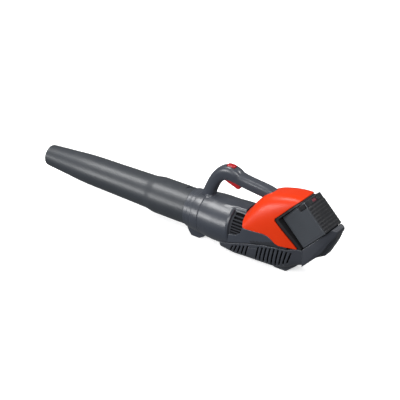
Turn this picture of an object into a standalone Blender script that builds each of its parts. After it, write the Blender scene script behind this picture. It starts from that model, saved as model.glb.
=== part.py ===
"""Handheld battery leaf blower: an axial fan in a clamshell case, a long tapered tube, a loop handle and a
battery that slides in at 45 degrees. Lengths in this file are millimetres; every mesh is scaled to metres.

The blower axis is the X axis of an empty, with the tube towards -X and the battery towards +X. The empty
stands so that the whole object rests on Z = 0 with its box centred over the origin.
"""

import math

import bmesh
import bpy
from mathutils import Matrix, Vector

MM = 0.001
GAP = 0.3                 # clearance between neighbouring pieces
WALL = 2.8                # moulded wall thickness

# Driving dimensions
TUBE_TIP_X = -611.0       # mouth of the tube
COLLAR_FRONT_X = -97.0    # where the tube meets the collar
SEAM_X = -45.0            # collar to case seam
CASE_END_X = 108.0        # rear end of the round fan case
TAIL_END_X = 375.0        # rear tip of the tail guard
AXIS_HEIGHT = 78.0        # fan axis above the ground
CASE_RADIUS = 65.0
VENT_RADIUS = 59.5        # recessed case behind the side vents
DUCT_RADIUS = 62.0
SPIGOT_RADIUS = 48.7      # the tube slides over this
TWIST_ANGLE = 14.0        # bayonet travel of the tube, degrees
BAY_U = 204.0             # edges of the battery bay, in the battery's own tilted frame
BAY_W = 81.0
BATTERY_U = (217.0, 320.0)
BATTERY_W = (88.0, 187.0)
BATTERY_HALF = 37.0
BATTERY_TILT = math.radians(45)
SHAFT_RADIUS = 4.0
HANDLE_SCREWS = ((-31.0, 100.0), (76.0, 135.0), (118.0, 131.0))

# Rear body, station by station: x, top, half width, level of the widest point, bottom, top squareness
BODY_STATIONS = (
    (30.0, 60.0, 58.0, 0.0, -62.0, 2.0),
    (72.0, 63.0, 61.5, 8.0, -66.0, 2.0),
    (100.0, 69.0, 61.0, 20.0, -66.0, 2.1),
    (126.0, 103.0, 60.5, 30.0, -66.0, 2.4),
    (150.0, 128.0, 60.0, 32.0, -66.0, 2.7),
    (174.0, 142.0, 59.0, 32.0, -65.5, 3.0),
    (199.0, 149.0, 57.0, 30.0, -65.0, 3.5),
    (230.0, 155.0, 53.0, 26.0, -58.0, 4.2),
    (261.0, 158.0, 47.5, 22.0, -42.0, 5.0),
    (286.0, 158.0, 44.0, 20.0, -33.0, 5.5),
)
LOWER_SQUARENESS = 5.0

# Handle centre line: x, z, half height, half width
HANDLE_STATIONS = (
    (-52.0, 50.0, 18.0, 15.5),
    (-44.0, 68.0, 17.5, 15.5),
    (-36.0, 88.0, 17.0, 15.5),
    (-26.0, 108.0, 17.0, 15.5),
    (-12.0, 127.0, 18.0, 16.5),
    (6.0, 141.0, 20.5, 18.0),
    (26.0, 146.5, 22.5, 18.5),
    (44.0, 144.0, 21.5, 18.0),
    (56.0, 139.5, 19.0, 17.0),
    (80.0, 135.0, 18.5, 16.5),
    (110.0, 131.5, 18.5, 16.5),
    (140.0, 128.5, 18.5, 16.5),
    (160.0, 125.5, 17.5, 16.0),
    (182.0, 119.5, 15.0, 15.0),
)

# Edges between the shells, seen from the side (x, z)
COVER_LOWER_EDGE = ((112.0, 32.0), (148.0, 34.0), (170.0, 36.0), (186.0, 33.0), (197.0, 26.0), (207.0, 17.5),
                    (218.0, 13.5), (240.0, 14.5), (262.0, 16.0), (272.0, 17.0))
COVER_FRONT_EDGE = ((106.0, 34.0), (103.0, 45.0), (99.5, 62.0), (95.0, 82.0))
BASE_SEAM = ((34.0, -36.5), (72.0, -24.0), (120.0, -9.0), (169.0, 3.0), (211.0, 8.0), (243.0, 9.2))

MATERIALS = {
    "slate_plastic": ((0.060, 0.068, 0.090), 0.32, 0.0),
    "tube_plastic": ((0.070, 0.076, 0.088), 0.42, 0.0),
    "orange_plastic": ((0.860, 0.075, 0.010), 0.22, 0.0),
    "guard_plastic": ((0.045, 0.048, 0.058), 0.45, 0.0),
    "black_plastic": ((0.012, 0.012, 0.014), 0.50, 0.0),
    "battery_plastic": ((0.060, 0.062, 0.072), 0.40, 0.0),
    "red_plastic": ((0.550, 0.015, 0.020), 0.30, 0.0),
    "foot_rubber": ((0.018, 0.018, 0.019), 0.80, 0.0),
    "fan_nylon": ((0.020, 0.020, 0.022), 0.45, 0.0),
    "steel": ((0.560, 0.570, 0.580), 0.30, 1.0),
    "aluminium": ((0.700, 0.710, 0.720), 0.38, 1.0),
    "copper": ((0.800, 0.380, 0.200), 0.35, 1.0),
    "board_green": ((0.020, 0.120, 0.050), 0.50, 0.0),
    "cell_wrap": ((0.050, 0.250, 0.420), 0.40, 0.0),
    "lead_rubber": ((0.300, 0.015, 0.012), 0.55, 0.0),
}


# ---- scene ----

for old in list(bpy.data.objects):
    bpy.data.objects.remove(old)

parts = bpy.data.collections.new("leaf_blower")
cutters = bpy.data.collections.new("leaf_blower_cutters")
bpy.context.scene.collection.children.link(parts)
bpy.context.scene.collection.children.link(cutters)


def empty(name, location, tilt=0.0, parent=None):
    """A frame for other pieces, turned about Y by tilt."""
    frame = bpy.data.objects.new(name, None)
    frame.location = Vector(location) * MM
    frame.rotation_euler = (0, tilt, 0)
    frame.parent = parent
    parts.objects.link(frame)
    return frame


blower = empty("blower_axis", (-(TUBE_TIP_X + TAIL_END_X) / 2, 0, AXIS_HEIGHT))
battery_frame = empty("battery_frame", (0, 0, 0), -BATTERY_TILT, blower)


def material(name):
    found = bpy.data.materials.get(name)
    if found:
        return found
    colour, roughness, metallic = MATERIALS[name]
    made = bpy.data.materials.new(name)
    made.use_nodes = True
    shader = made.node_tree.nodes["Principled BSDF"]
    shader.inputs["Base Color"].default_value = (*colour, 1)
    shader.inputs["Roughness"].default_value = roughness
    shader.inputs["Metallic"].default_value = metallic
    return made


def place(obj, finish, parent, pivot):
    """Links a piece, or a cutter when it has no finish, with its origin at the pivot."""
    obj.location = Vector(pivot) * MM
    obj.parent = parent
    if finish:
        obj.data.materials.append(material(finish))
        parts.objects.link(obj)
    else:
        obj.hide_render = True
        obj.display_type = "WIRE"
        cutters.objects.link(obj)
    return obj


def solid(name, bm, finish=None, parent=blower, pivot=(0, 0, 0), smooth=40):
    """Turns a bmesh drawn in millimetres into an object."""
    bmesh.ops.recalc_face_normals(bm, faces=bm.faces)
    bm.transform(Matrix.Scale(MM, 4) @ Matrix.Translation(-Vector(pivot)))
    mesh = bpy.data.meshes.new(name)
    bm.to_mesh(mesh)
    bm.free()
    mesh.shade_smooth()
    mesh.set_sharp_from_angle(angle=math.radians(smooth))
    return place(bpy.data.objects.new(name, mesh), finish, parent, pivot)


def turned(name, profile, finish=None, segments=32, parent=blower, pivot=(0, 0, 0), ring=False):
    """A profile of (x, radius) turned about the X axis. A ring closes on itself clear of the axis."""
    around = zip(profile, list(profile[1:]) + [profile[0]])
    if sum(ax * br - bx * ar for (ax, ar), (bx, br) in around) < 0:
        profile = profile[::-1]      # the outer side has to run towards -X for the skin to face out
    mesh = bpy.data.meshes.new(name)
    points = [(radius * MM, 0, (x - pivot[0]) * MM) for x, radius in profile]
    edges = [(i, i + 1) for i in range(len(points) - 1)]
    if ring:
        edges.append((len(points) - 1, 0))
    mesh.from_pydata(points, edges, [])
    obj = place(bpy.data.objects.new(name, mesh), finish, parent, pivot)
    obj.rotation_euler = (0, math.pi / 2, 0)
    screw = obj.modifiers.new("Screw", "SCREW")
    screw.axis = "Z"
    screw.steps = segments
    screw.render_steps = segments
    screw.use_merge_vertices = True
    screw.merge_threshold = 0.00001
    screw.use_smooth_shade = True
    return obj


def rod(name, x, z, radius, y_low, y_high, finish=None, segments=16, parent=blower, pivot=(0, 0, 0)):
    """A cylinder along Y."""
    bm = bmesh.new()
    turn = Matrix.Translation((x, (y_low + y_high) / 2, z)) @ Matrix.Rotation(math.pi / 2, 4, "X")
    bmesh.ops.create_cone(bm, cap_ends=True, segments=segments, radius1=radius, radius2=radius,
                          depth=y_high - y_low, matrix=turn)
    return solid(name, bm, finish, parent, pivot)


def block(name, low, high, finish=None, parent=blower, pivot=(0, 0, 0), bevel=0.0):
    bm = bmesh.new()
    low, high = Vector(low), Vector(high)
    size = Matrix.Diagonal((*(high - low), 1))
    bmesh.ops.create_cube(bm, size=1, matrix=Matrix.Translation((low + high) / 2) @ size)
    obj = solid(name, bm, finish, parent, pivot)
    if bevel:
        round_edges(obj, bevel)
    return obj


def round_edges(obj, width, segments=2, angle=40):
    bevel = obj.modifiers.new("Bevel", "BEVEL")
    bevel.width = width * MM
    bevel.segments = segments
    bevel.limit_method = "ANGLE"
    bevel.angle_limit = math.radians(angle)
    return obj


def prism(name, outline, half, finish=None, parent=blower, pivot=(0, 0, 0), y=0.0):
    """A flat outline of (x, z) points with a thickness of twice half along Y, centred on y."""
    bm = bmesh.new()
    rings = [[bm.verts.new((x, y + side * half, z)) for x, z in outline] for side in (-1, 1)]
    count = len(outline)
    for ring in rings:
        bm.faces.new(ring)
    for i in range(count):
        j = (i + 1) % count
        bm.faces.new((rings[0][i], rings[0][j], rings[1][j], rings[1][i]))
    return solid(name, bm, finish, parent, pivot)


def loft(name, sections, finish=None, parent=blower, pivot=(0, 0, 0), twisted=False):
    """A closed skin over rings of equal length, in triangles where it twists."""
    bm = bmesh.new()
    rings = [[bm.verts.new(point) for point in section] for section in sections]
    count = len(rings[0])
    for near, far in zip(rings, rings[1:]):
        for i in range(count):
            j = (i + 1) % count
            bm.faces.new((near[i], near[j], far[j], far[i]))
    bm.faces.new(rings[0])
    bm.faces.new(rings[-1])
    if twisted:
        bmesh.ops.triangulate(bm, faces=bm.faces)
    return solid(name, bm, finish, parent, pivot)


def boolean(obj, other, operation="DIFFERENCE"):
    change = obj.modifiers.new(operation.title(), "BOOLEAN")
    change.operation = operation
    change.object = other
    change.solver = "EXACT"
    return obj


def settle(obj):
    """Replaces an object's mesh by its modified one, with near-coincident points welded."""
    bpy.context.view_layer.update()
    done = bpy.data.meshes.new_from_object(obj.evaluated_get(bpy.context.evaluated_depsgraph_get()))
    obj.modifiers.clear()
    bm = bmesh.new()
    bm.from_mesh(done)
    bmesh.ops.remove_doubles(bm, verts=bm.verts, dist=0.00002)
    bmesh.ops.dissolve_degenerate(bm, edges=bm.edges, dist=0.00002)
    bm.to_mesh(done)
    bm.free()
    obj.data = done
    return obj


def wire(name, points, radius, finish, parent=blower):
    """A round lead through the points, in millimetres."""
    curve = bpy.data.curves.new(name, "CURVE")
    curve.dimensions = "3D"
    curve.bevel_depth = radius * MM
    curve.bevel_resolution = 1
    curve.use_fill_caps = True
    line = curve.splines.new("POLY")
    line.points.add(len(points) - 1)
    for target, point in zip(line.points, points):
        target.co = (*(Vector(point) * MM), 1)
    return place(bpy.data.objects.new(name, curve), finish, parent, (0, 0, 0))


def smooth_value(table, column, x):
    """Reads a column of a station table at x, with a cubic through the stations."""
    xs = [row[0] for row in table]
    ys = [row[column] for row in table]
    x = min(max(x, xs[0]), xs[-1])
    i = max(k for k in range(len(xs) - 1) if xs[k] <= x)
    span = xs[i + 1] - xs[i]
    t = (x - xs[i]) / span

    def slope(k):
        low, high = max(k - 1, 0), min(k + 1, len(xs) - 1)
        return (ys[high] - ys[low]) / (xs[high] - xs[low])

    return ((2 * t**3 - 3 * t**2 + 1) * ys[i] + (t**3 - 2 * t**2 + t) * span * slope(i)
            + (3 * t**2 - 2 * t**3) * ys[i + 1] + (t**3 - t**2) * span * slope(i + 1))


def body_section(x, inset, points=28):
    """A ring round the rear body at x: a superellipse above its widest level and a squarer one below."""
    top, half, middle, bottom, squareness = (smooth_value(BODY_STATIONS, k, x) for k in range(1, 6))
    ring = []
    for k in range(points):
        angle = 2 * math.pi * (k + 0.5) / points
        power = 2 / (squareness if math.sin(angle) > 0 else LOWER_SQUARENESS)
        across = math.copysign(abs(math.cos(angle)) ** power, math.cos(angle))
        up = abs(math.sin(angle)) ** power
        reach = top - inset - middle if math.sin(angle) > 0 else bottom + inset - middle
        ring.append((x, (half - inset) * across, middle + reach * up))
    return ring


def handle_section(index, inset, points=16):
    """A ring round the handle at a station, square to its centre line."""
    x, z, tall, wide = HANDLE_STATIONS[index]
    before = HANDLE_STATIONS[max(index - 1, 0)]
    after = HANDLE_STATIONS[min(index + 1, len(HANDLE_STATIONS) - 1)]
    along = Vector((after[0] - before[0], 0, after[1] - before[1])).normalized()
    up = Vector((-along.z, 0, along.x))
    ring = []
    for k in range(points):
        angle = 2 * math.pi * (k + 0.5) / points
        across = math.copysign(abs(math.cos(angle)) ** 0.75, math.cos(angle)) * (wide - inset)
        rise = math.copysign(abs(math.sin(angle)) ** 0.75, math.sin(angle)) * (tall - inset)
        ring.append(Vector((x, across, z)) + up * rise)
    return ring


def tilted(points):
    """Points given as (u, w) in the battery's frame, as (x, z) of that frame."""
    return [(u, -w) for u, w in points]


def shifted(points, rise):
    return [(x, z + rise) for x, z in points]


# ---- tube and collar ----

TUBE_PROFILE = ((TUBE_TIP_X, 30.0), (-608.0, 30.8), (-540.0, 36.2), (-465.0, 41.7), (-360.0, 44.2),
                (-262.0, 46.5), (-240.0, 48.2), (-215.0, 51.0), (-190.0, 51.8),
                (COLLAR_FRONT_X - 2 * GAP, 52.0))
LUG_X = -118.0

inner = [(x, radius - WALL - 0.05) for x, radius in TUBE_PROFILE[1:]]
tube = turned("nozzle_tube", list(TUBE_PROFILE) + inner[::-1] + [(TUBE_TIP_X, 28.2)], "tube_plastic",
              ring=True)
travel = math.radians(TWIST_ANGLE) * TUBE_PROFILE[-1][1]      # of the tube's root past a lug
for side in (1, -1):
    slot = block("bayonet_slot", (LUG_X - 6.5, -4.2, 40), (LUG_X + 6.5, travel + 4.8, 60))
    entry = block("bayonet_entry", (LUG_X - 6.4, travel - 4.5, 40), (COLLAR_FRONT_X + 5, travel + 4.7, 60))
    for cutter in (slot, entry):
        cutter.rotation_euler = (0 if side == 1 else math.pi, 0, 0)
    boolean(tube, slot)
    boolean(tube, entry)

collar = turned("outlet_collar", (
    (COLLAR_FRONT_X - 38, SPIGOT_RADIUS - 0.6), (COLLAR_FRONT_X - 37, SPIGOT_RADIUS),
    (COLLAR_FRONT_X - GAP, SPIGOT_RADIUS), (COLLAR_FRONT_X - GAP, 54.0), (COLLAR_FRONT_X + 1.5, 55.2),
    (-84.0, 55.6), (-83.0, 57.2), (-70.0, 57.8), (-69.0, 58.8), (SEAM_X - 1, 60.6), (SEAM_X - GAP, 60.0),
    (SEAM_X - GAP, 57.0), (-75.0, 52.0), (-95.0, 46.4), (COLLAR_FRONT_X - 38, 46.0),
), "slate_plastic", ring=True)
for side in (1, -1):
    lug = block("spigot_lug", (LUG_X - 4, -3, 47.5 * side - 3), (LUG_X + 4, 3, 48 * side + 3))
    boolean(collar, lug, "UNION")
settle(collar)

# ---- fan case, rear body and handle, before they are parted ----

case_clearance = turned("case_clearance", (
    (-60.0, 0.0), (-60.0, CASE_RADIUS + GAP), (58.5, CASE_RADIUS + GAP), (61.0, VENT_RADIUS + GAP),
    (CASE_END_X + GAP, VENT_RADIUS + GAP), (CASE_END_X + GAP, 0.0),
), segments=40)
duct = turned("duct_bore", (
    (SEAM_X - 5, 0.0), (SEAM_X - 5, 57.0), (-17.0, 61.0), (0.0, DUCT_RADIUS), (53.0, DUCT_RADIUS),
    (58.0, 56.4), (CASE_END_X + 5, 56.4), (CASE_END_X + 5, 0.0),
), segments=40)
BODY_CUTS = [30, 52, 72, 92, 108, 122, 136, 150, 166, 182, 199, 218, 238, 261, 286]
body_outer = loft("body_outer", [body_section(x, 0) for x in BODY_CUTS])
body_inner = loft("body_inner", [body_section(x, WALL) for x in [104, 114] + BODY_CUTS[5:]]
                  + [[(292, y, z) for _, y, z in body_section(286, WALL)]])
handle_outer = loft("handle_outer", [handle_section(i, 0) for i in range(len(HANDLE_STATIONS))])
LAST_GRIP = len(HANDLE_STATIONS) - 1
GRIP_CLEARANCE = 0.4
handle_clearance = loft("handle_clearance",
                        [handle_section(i, -GRIP_CLEARANCE) for i in range(8, LAST_GRIP + 1)]
                        + [[p + Vector((4, 0, -0.4)) for p in handle_section(LAST_GRIP, -GRIP_CLEARANCE)]])
handle_hollow = loft("handle_hollow",
                     [handle_section(i, WALL) for i in range(1, LAST_GRIP + 1)]
                     + [[p + Vector((12, 0, -1.2)) for p in handle_section(LAST_GRIP, WALL)]])
bay_outline = ((BAY_U + 5, BAY_W), (BAY_U, BAY_W + 5), (BAY_U, 400), (500, 400), (500, BAY_W))
bay = prism("battery_bay", tilted(bay_outline), 90, parent=battery_frame)

# ---- clamshell halves with the handle ----

fairing_outline = (list(shifted(BASE_SEAM[1:], GAP)) + [(241.0, 13.0)]
                   + [(x, z - GAP) for x, z in COVER_LOWER_EDGE[6::-1]]
                   + [(106.0, 31.0), (99.0, 12.0), (84.0, 3.0), (60.0, -2.0), (58.0, -27.5)])
fairing = prism("fairing_side", fairing_outline, 90)
boolean(fairing, body_outer, "INTERSECT")
settle(fairing)

shell = turned("housing_shell", (
    (SEAM_X, 0.0), (SEAM_X, 60.2), (SEAM_X + 1.5, 61.2), (-20.0, 63.8), (0.0, CASE_RADIUS),
    (52.0, CASE_RADIUS), (58.0, 63.6), (60.5, VENT_RADIUS), (CASE_END_X, VENT_RADIUS), (CASE_END_X, 0.0),
), segments=40)
boolean(shell, fairing, "UNION")
boolean(shell, body_inner)
boolean(shell, handle_outer, "UNION")
boolean(shell, handle_hollow)
for x, z in HANDLE_SCREWS:
    boolean(shell, rod("screw_boss", x, z, 5.2, -14.5, 14.5), "UNION")
boolean(shell, block("spring_seat", (21.5, -15.6, 140.4), (36.4, 15.6, 142.7)), "UNION")
boolean(shell, duct)
collar_clearance = turned("collar_clearance", (
    (-110.0, 0.0), (-110.0, 62.0), (SEAM_X, 61.6), (SEAM_X, 0.0)), segments=40)
boolean(shell, collar_clearance)

VENT_COUNT = 7
for k in range(VENT_COUNT):
    low = 4.0 + 7.4 * k
    boolean(shell, block("vent_slot", (66.0, -80, low), (100.0, 80, low + 3.6)))
boolean(shell, block("trigger_slot", (7.0, -8.3, 98.0), (62.0, 8.3, 134.5)))
boolean(shell, block("button_slot", (14.4, -8.3, 158.0), (41.6, 8.3, 180.0)))
for x, z in HANDLE_SCREWS:
    boolean(shell, rod("screw_hole", x, z, 2.0, -9.0, 12.0, segments=12))
    boolean(shell, rod("screw_recess", x, z, 4.1, 10.5, 30.0))
settle(shell)
shell.hide_render = True


def half_shell(name, side):
    """One clamshell half: the joined shell on one side of the mid plane."""
    edges = sorted((side * GAP / 2, side * 120))
    half = block(name, (-200, edges[0], -120), (400, edges[1], 260), "slate_plastic")
    boolean(half, shell, "INTERSECT")
    return settle(half)


half_shell("housing_left", -1)
half_shell("housing_right", 1)

# ---- rear cover ----

cover_outline = (list(COVER_FRONT_EDGE[::-1]) + list(COVER_LOWER_EDGE)
                 + [(300.0, 17.0), (300.0, 200.0), (90.0, 200.0)])
cover = prism("rear_cover", cover_outline, 90, "orange_plastic")
boolean(cover, body_outer, "INTERSECT")
settle(cover)
boolean(cover, body_inner)
boolean(cover, case_clearance)
boolean(cover, bay)
boolean(cover, handle_clearance)
settle(cover)

# ---- louvred base guard ----

base_outline = (list(shifted(BASE_SEAM, -GAP))
                + [(256.0, 12.5), (268.0, 16.0), (286.0, 16.4), (286.0, -90.0), (34.0, -90.0)])
base = prism("base_guard", base_outline, 90, "guard_plastic")
boolean(base, body_outer, "INTERSECT")
settle(base)
boolean(base, body_inner)
boolean(base, case_clearance)
boolean(base, bay)


def louvre(x, low, high, lean=10.0, thick=4.2):
    """A leaning slot through both walls of the base."""
    return prism("louvre_slot", ((x, low), (x + thick, low), (x + lean + thick, high), (x + lean, high)), 90)


LOUVRE_PITCH = 12.0
FRONT_LOUVRES = (64.0, 5)     # first slot, how many
REAR_LOUVRES = (146.0, 9)
LOUVRE_LOW = -46.0

for k in range(FRONT_LOUVRES[1]):
    rise = LOUVRE_PITCH * k
    boolean(base, louvre(FRONT_LOUVRES[0] + rise, LOUVRE_LOW, -30.0 + 0.30 * rise))
for k in range(REAR_LOUVRES[1]):
    rise = LOUVRE_PITCH * k
    boolean(base, louvre(REAR_LOUVRES[0] + rise, LOUVRE_LOW + max(0.0, rise - 60.0) * 0.5,
                         -8.0 + min(10.0, 0.2 * rise)))
settle(base)

# ---- tail guard, behind and under the battery ----

tail_outline = ((286.3, -32.5), (300.0, -27.0), (311.0, -18.0), (331.0, 11.0), (356.0, 56.0), (368.0, 73.0),
                (TAIL_END_X, 85.0), (374.0, 93.0), (366.0, 95.0), (362.0, 96.3), (286.3, 20.6))
tail = prism("tail_guard", tail_outline, 42, "guard_plastic")
TAIL_TAPER = math.radians(20)

for side in (-1, 1):
    corner = block("tail_corner", (330, -30, -60), (460, 30, 160))
    corner.matrix_local = (Matrix.Translation(Vector((300, side * 42, 0)) * MM)
                           @ Matrix.Rotation(-side * TAIL_TAPER, 4, "Z")
                           @ Matrix.Translation(Vector((-300, side * 30, 0)) * MM))
    boolean(tail, corner)
scoop = prism("tail_scoop", ((280.0, -24.0), (298.0, -19.0), (318.0, 12.0), (330.0, 34.0), (324.0, 42.0),
                             (296.0, 16.0), (280.0, 2.0)), 34)
boolean(tail, scoop)
settle(tail)

# ---- feet ----

front_foot = prism("front_foot", (
    (-108.0, -52.0), (-104.0, -62.0), (-93.0, -AXIS_HEIGHT), (-66.0, -AXIS_HEIGHT), (-52.0, -70.0),
    (-40.0, -56.0), (-56.0, -40.0), (-94.0, -40.0)), 21, "foot_rubber")
foot_clearance = turned("foot_clearance", (
    (-135.0, 0.0), (-135.0, 52.6), (COLLAR_FRONT_X - 0.5, 52.6), (COLLAR_FRONT_X - 0.5, 54.4),
    (-95.8, 55.6), (-84.4, 56.0), (-83.4, 57.6), (-70.4, 58.2), (-69.4, 59.2), (SEAM_X - 1, 61.0),
    (-40.0, 61.6), (-20.0, 64.2), (-20.0, 0.0)), segments=40)
boolean(front_foot, foot_clearance)
settle(front_foot)

rear_foot = prism("rear_foot", ((164.0, -58.0), (184.0, -AXIS_HEIGHT), (222.0, -AXIS_HEIGHT), (256.0, -50.0),
                                (250.0, -44.0), (170.0, -50.0)), 24, "foot_rubber")
foot_gap = loft("foot_gap", [body_section(x, -GAP) for x in BODY_CUTS])
boolean(rear_foot, foot_gap)
settle(rear_foot)

# ---- motor, fan and guide vanes ----

turned("motor_can", ((30, 27.0), (31, 27.6), (83, 27.6), (84, 27.0), (84, 8.6), (77, 8.6), (77, 24.4),
                     (37, 24.4), (37, 8.6), (30, 8.6)), "aluminium", segments=24, ring=True)
turned("motor_stator", ((42, 24.0), (72, 24.0), (72, 15.6), (42, 15.6)), "copper", segments=24, ring=True)
turned("motor_rotor", ((44, 14.8), (70, 14.8), (70, SHAFT_RADIUS + GAP), (44, SHAFT_RADIUS + GAP)), "steel",
       segments=24, ring=True)
turned("motor_shaft", ((-12, 0), (-12, 3.4), (-11.4, SHAFT_RADIUS), (87.4, SHAFT_RADIUS), (88, 3.4),
                       (88, 0)), "steel", segments=16)
for name, x in (("front_bearing", 30.6), ("rear_bearing", 77.2)):
    turned(name, ((x, 8.2), (x + 6, 8.2), (x + 6, SHAFT_RADIUS + GAP), (x, SHAFT_RADIUS + GAP)), "steel",
           segments=16, ring=True)

turned("fan_spinner", ((-36, 0), (-35.2, 5), (-31, 11.5), (-22, 18), (-13, 21.8), (-8.4, 22.6), (-8.4, 12),
                       (-13, 12), (-13, 0)), "fan_nylon", segments=20)
fan = turned("fan", ((-8, 23.0), (22, 23.0), (22, 20.5), (4, 20.5), (4, 9), (12, 9),
                     (12, SHAFT_RADIUS + GAP), (-8, SHAFT_RADIUS + GAP)), "fan_nylon", segments=20, ring=True)
BLADES = 9
for k in range(BLADES):
    sections = []
    for radius, chord, pitch in ((21.8, 26.0, 42.0), (41.0, 30.0, 55.0), (60.4, 32.0, 63.0)):
        lean = math.radians(pitch)
        ring = []
        for along, thick in ((-0.5, 0.0), (0.0, 1.4), (0.5, 0.0), (0.0, -0.6)):
            x = 6 + chord * along * math.cos(lean) + thick * math.sin(lean)
            sweep = chord * along * math.sin(lean) - thick * math.cos(lean)
            turn = sweep / radius + 2 * math.pi * k / BLADES
            ring.append((x, radius * math.sin(turn), radius * math.cos(turn)))
        sections.append(ring)
    boolean(fan, loft("fan_blade", sections, twisted=True), "UNION")
settle(fan)

vanes = turned("guide_vanes", ((25, 30.6), (84, 30.6), (90, 24), (92, 18), (89.6, 18), (88, 22.5),
                               (84.6, 27.9), (25, 27.9)), "guard_plastic", segments=24, ring=True)
VANES = 7
for k in range(VANES):
    turn = Matrix.Rotation(2 * math.pi * (k + 0.5) / VANES, 4, "X")
    outline = ((27, -3.5), (30, 0.6), (52, 3.2), (52, 1.2), (30, -1.4))
    ring = [[turn @ Vector((x, y, radius)) for x, y in outline] for radius in (29.2, 61.2)]
    boolean(vanes, loft("vane_blade", ring), "UNION")
settle(vanes)

# ---- controller and its leads ----

block("controller_board", (116, -34, -22), (180, 34, -20.2), "board_green")
fins = [(118.0, -19.8), (178.0, -19.8)]
for k in range(7):
    right = 178.0 - 8.4 * k
    fins += [(right, -6.0), (right - 2.4, -6.0), (right - 2.4, -16.5), (right - 8.4, -16.5)]
fins = fins[:-2] + [(fins[0][0], -16.5)]
prism("heat_sink", fins, 26, "aluminium")

TRIGGER_PIVOT = (15.0, 0.0, 130.0)
BUTTON_TOP = 172.0
trigger = prism("trigger", (
    (9.6, 133.5), (9.4, 121.0), (24.0, 115.5), (40.0, 110.5), (51.0, 106.0), (55.5, 107.0), (58.5, 112.0),
    (59.0, 121.0), (50.0, 129.5), (24.0, 131.5), (18.0, 134.5)), 7.6, "red_plastic", pivot=TRIGGER_PIVOT)
round_edges(trigger, 1.2, 1)
boolean(trigger, rod("trigger_bore", TRIGGER_PIVOT[0], TRIGGER_PIVOT[2], 2.3, -12, 12, segments=12))
settle(trigger)
rod("trigger_pin", TRIGGER_PIVOT[0], TRIGGER_PIVOT[2], 2.0, -9.6, 9.6, "steel", segments=12)
block("trigger_switch", (37, -7.5, 139.5), (56, 7.5, 151.5), "black_plastic", bevel=0.8)

loft("top_button", [
    [(28 + 13.2 * math.copysign(abs(math.cos(a)) ** 0.6, math.cos(a)) * grow,
      7.9 * math.copysign(abs(math.sin(a)) ** 0.6, math.sin(a)) * grow, z)
     for a in [2 * math.pi * (k + 0.5) / 16 for k in range(16)]]
    for grow, z in ((0.86, 158.5), (1.0, 158.8), (1.0, 168.2), (0.93, 170.6), (0.7, BUTTON_TOP))
], "red_plastic")


def coil(name, x, y, z_low, z_high, radius, turns, thickness):
    points = []
    for k in range(int(turns * 8) + 1):
        angle = math.pi * k / 4
        rise = z_low + (z_high - z_low) * k / (turns * 8)
        points.append((x + radius * math.cos(angle), y + radius * math.sin(angle), rise))
    return wire(name, points, thickness, "steel")


coil("button_spring", 28, 0, 143.5, 157.4, 4.5, 4, 0.7)
coil("trigger_spring", 31, 0, 133.2, 139.4, 3.4, 3, 0.6)

for number, (x, z) in enumerate(HANDLE_SCREWS, 1):
    head = turned(f"handle_screw_{number}", ((-8.0, 0), (-7.0, 1.6), (10.9, 1.6), (10.9, 3.7), (13.4, 3.3),
                                             (13.4, 0)), "steel", segments=12)
    head.location = Vector((x, 0, z)) * MM
    head.rotation_euler = (-math.pi / 2, 0, 0)

wire("switch_leads", ((56.6, 0, 147), (68, 0, 146.5), (84, 0, 144.5), (100, 0, 142.5), (118, 0, 141),
                      (134, 0, 137.5), (150, 0, 131), (166, 0, 124), (182, 0, 116), (191, 0, 107),
                      (192, 0, 97), (182, 0, 78), (166, 0, 58), (150, 0, 36), (142, 0, 20), (140, 0, 10),
                      (140, 0, -3)), 1.8, "lead_rubber")
wire("motor_leads", ((91, 0, 12), (100, 4, 10), (108, 9, 0), (112, 14, -12), (113, 14, -24), (120, 14, -30),
                     (130, 14, -30), (134, 14, -23.5)), 2.2, "lead_rubber")
wire("battery_leads", ((222.6, 14, 34), (214, 14, 24), (200, 16, 10), (190, 18, -4), (186, 20, -18),
                       (182, 20, -28), (172, 20, -30), (166, 20, -23.8)), 2.2, "lead_rubber")

# ---- battery bay liner and terminals, in the battery's frame ----

liner_outline = ((BAY_U + 1, BAY_W + 1), (302, BAY_W + 1), (302, BAY_W + 6.2),
                 (BAY_U + 10, BAY_W + 6.2), (BAY_U + 10, 185), (BAY_U + 1, 185))
liner = prism("bay_liner", tilted(liner_outline), 80, "black_plastic", battery_frame)
liner_reach = loft("liner_reach", [body_section(x, WALL + GAP) for x in BODY_CUTS[5:]]
                   + [[(310, y, z) for _, y, z in body_section(286, WALL + GAP)]])
boolean(liner, liner_reach, "INTERSECT")
settle(liner)
boolean(liner, block("terminal_window", (BAY_U - 5, -20, -158), (BAY_U + 11.5, 20, -112),
                     parent=battery_frame))
settle(liner)
terminal = block("terminal_block", (BAY_U - 6, -19.5, -157.5), (BAY_U + 7, 19.5, -112.5), "black_plastic",
                 battery_frame)
for k in range(4):
    blade_y = -13.5 + 9 * k
    boolean(terminal, block("terminal_blade", (BAY_U + 5, blade_y - 0.5, -150),
                            (BAY_U + 11, blade_y + 0.5, -120), parent=battery_frame), "UNION")
settle(terminal)

# ---- battery ----

U_FRONT, U_REAR = BATTERY_U
W_TOP, W_LOW = BATTERY_W
U_PANEL = 311.0           # end of the smooth side panels
CAP_W = 105.0             # lower edge of the latch cap
BUTTON_U = 281.0          # front edge of the latch buttons

battery = block("battery_case", (U_FRONT, -BATTERY_HALF, -W_LOW), (U_PANEL, BATTERY_HALF, -W_TOP),
                "battery_plastic", battery_frame, bevel=3)
settle(battery)
boolean(battery, block("cell_space", (U_FRONT + WALL, -34.2, -W_LOW + WALL),
                       (U_PANEL + 5, 34.2, -W_TOP - WALL), parent=battery_frame))
for side in (-1, 1):
    pocket = sorted((side * (BATTERY_HALF + 5), side * (BATTERY_HALF - 10)))
    boolean(battery, block("button_pocket", (BUTTON_U, pocket[0], -CAP_W + 1),
                           (BUTTON_U + 24, pocket[1], -W_TOP - 2.5), parent=battery_frame))
settle(battery)

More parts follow.
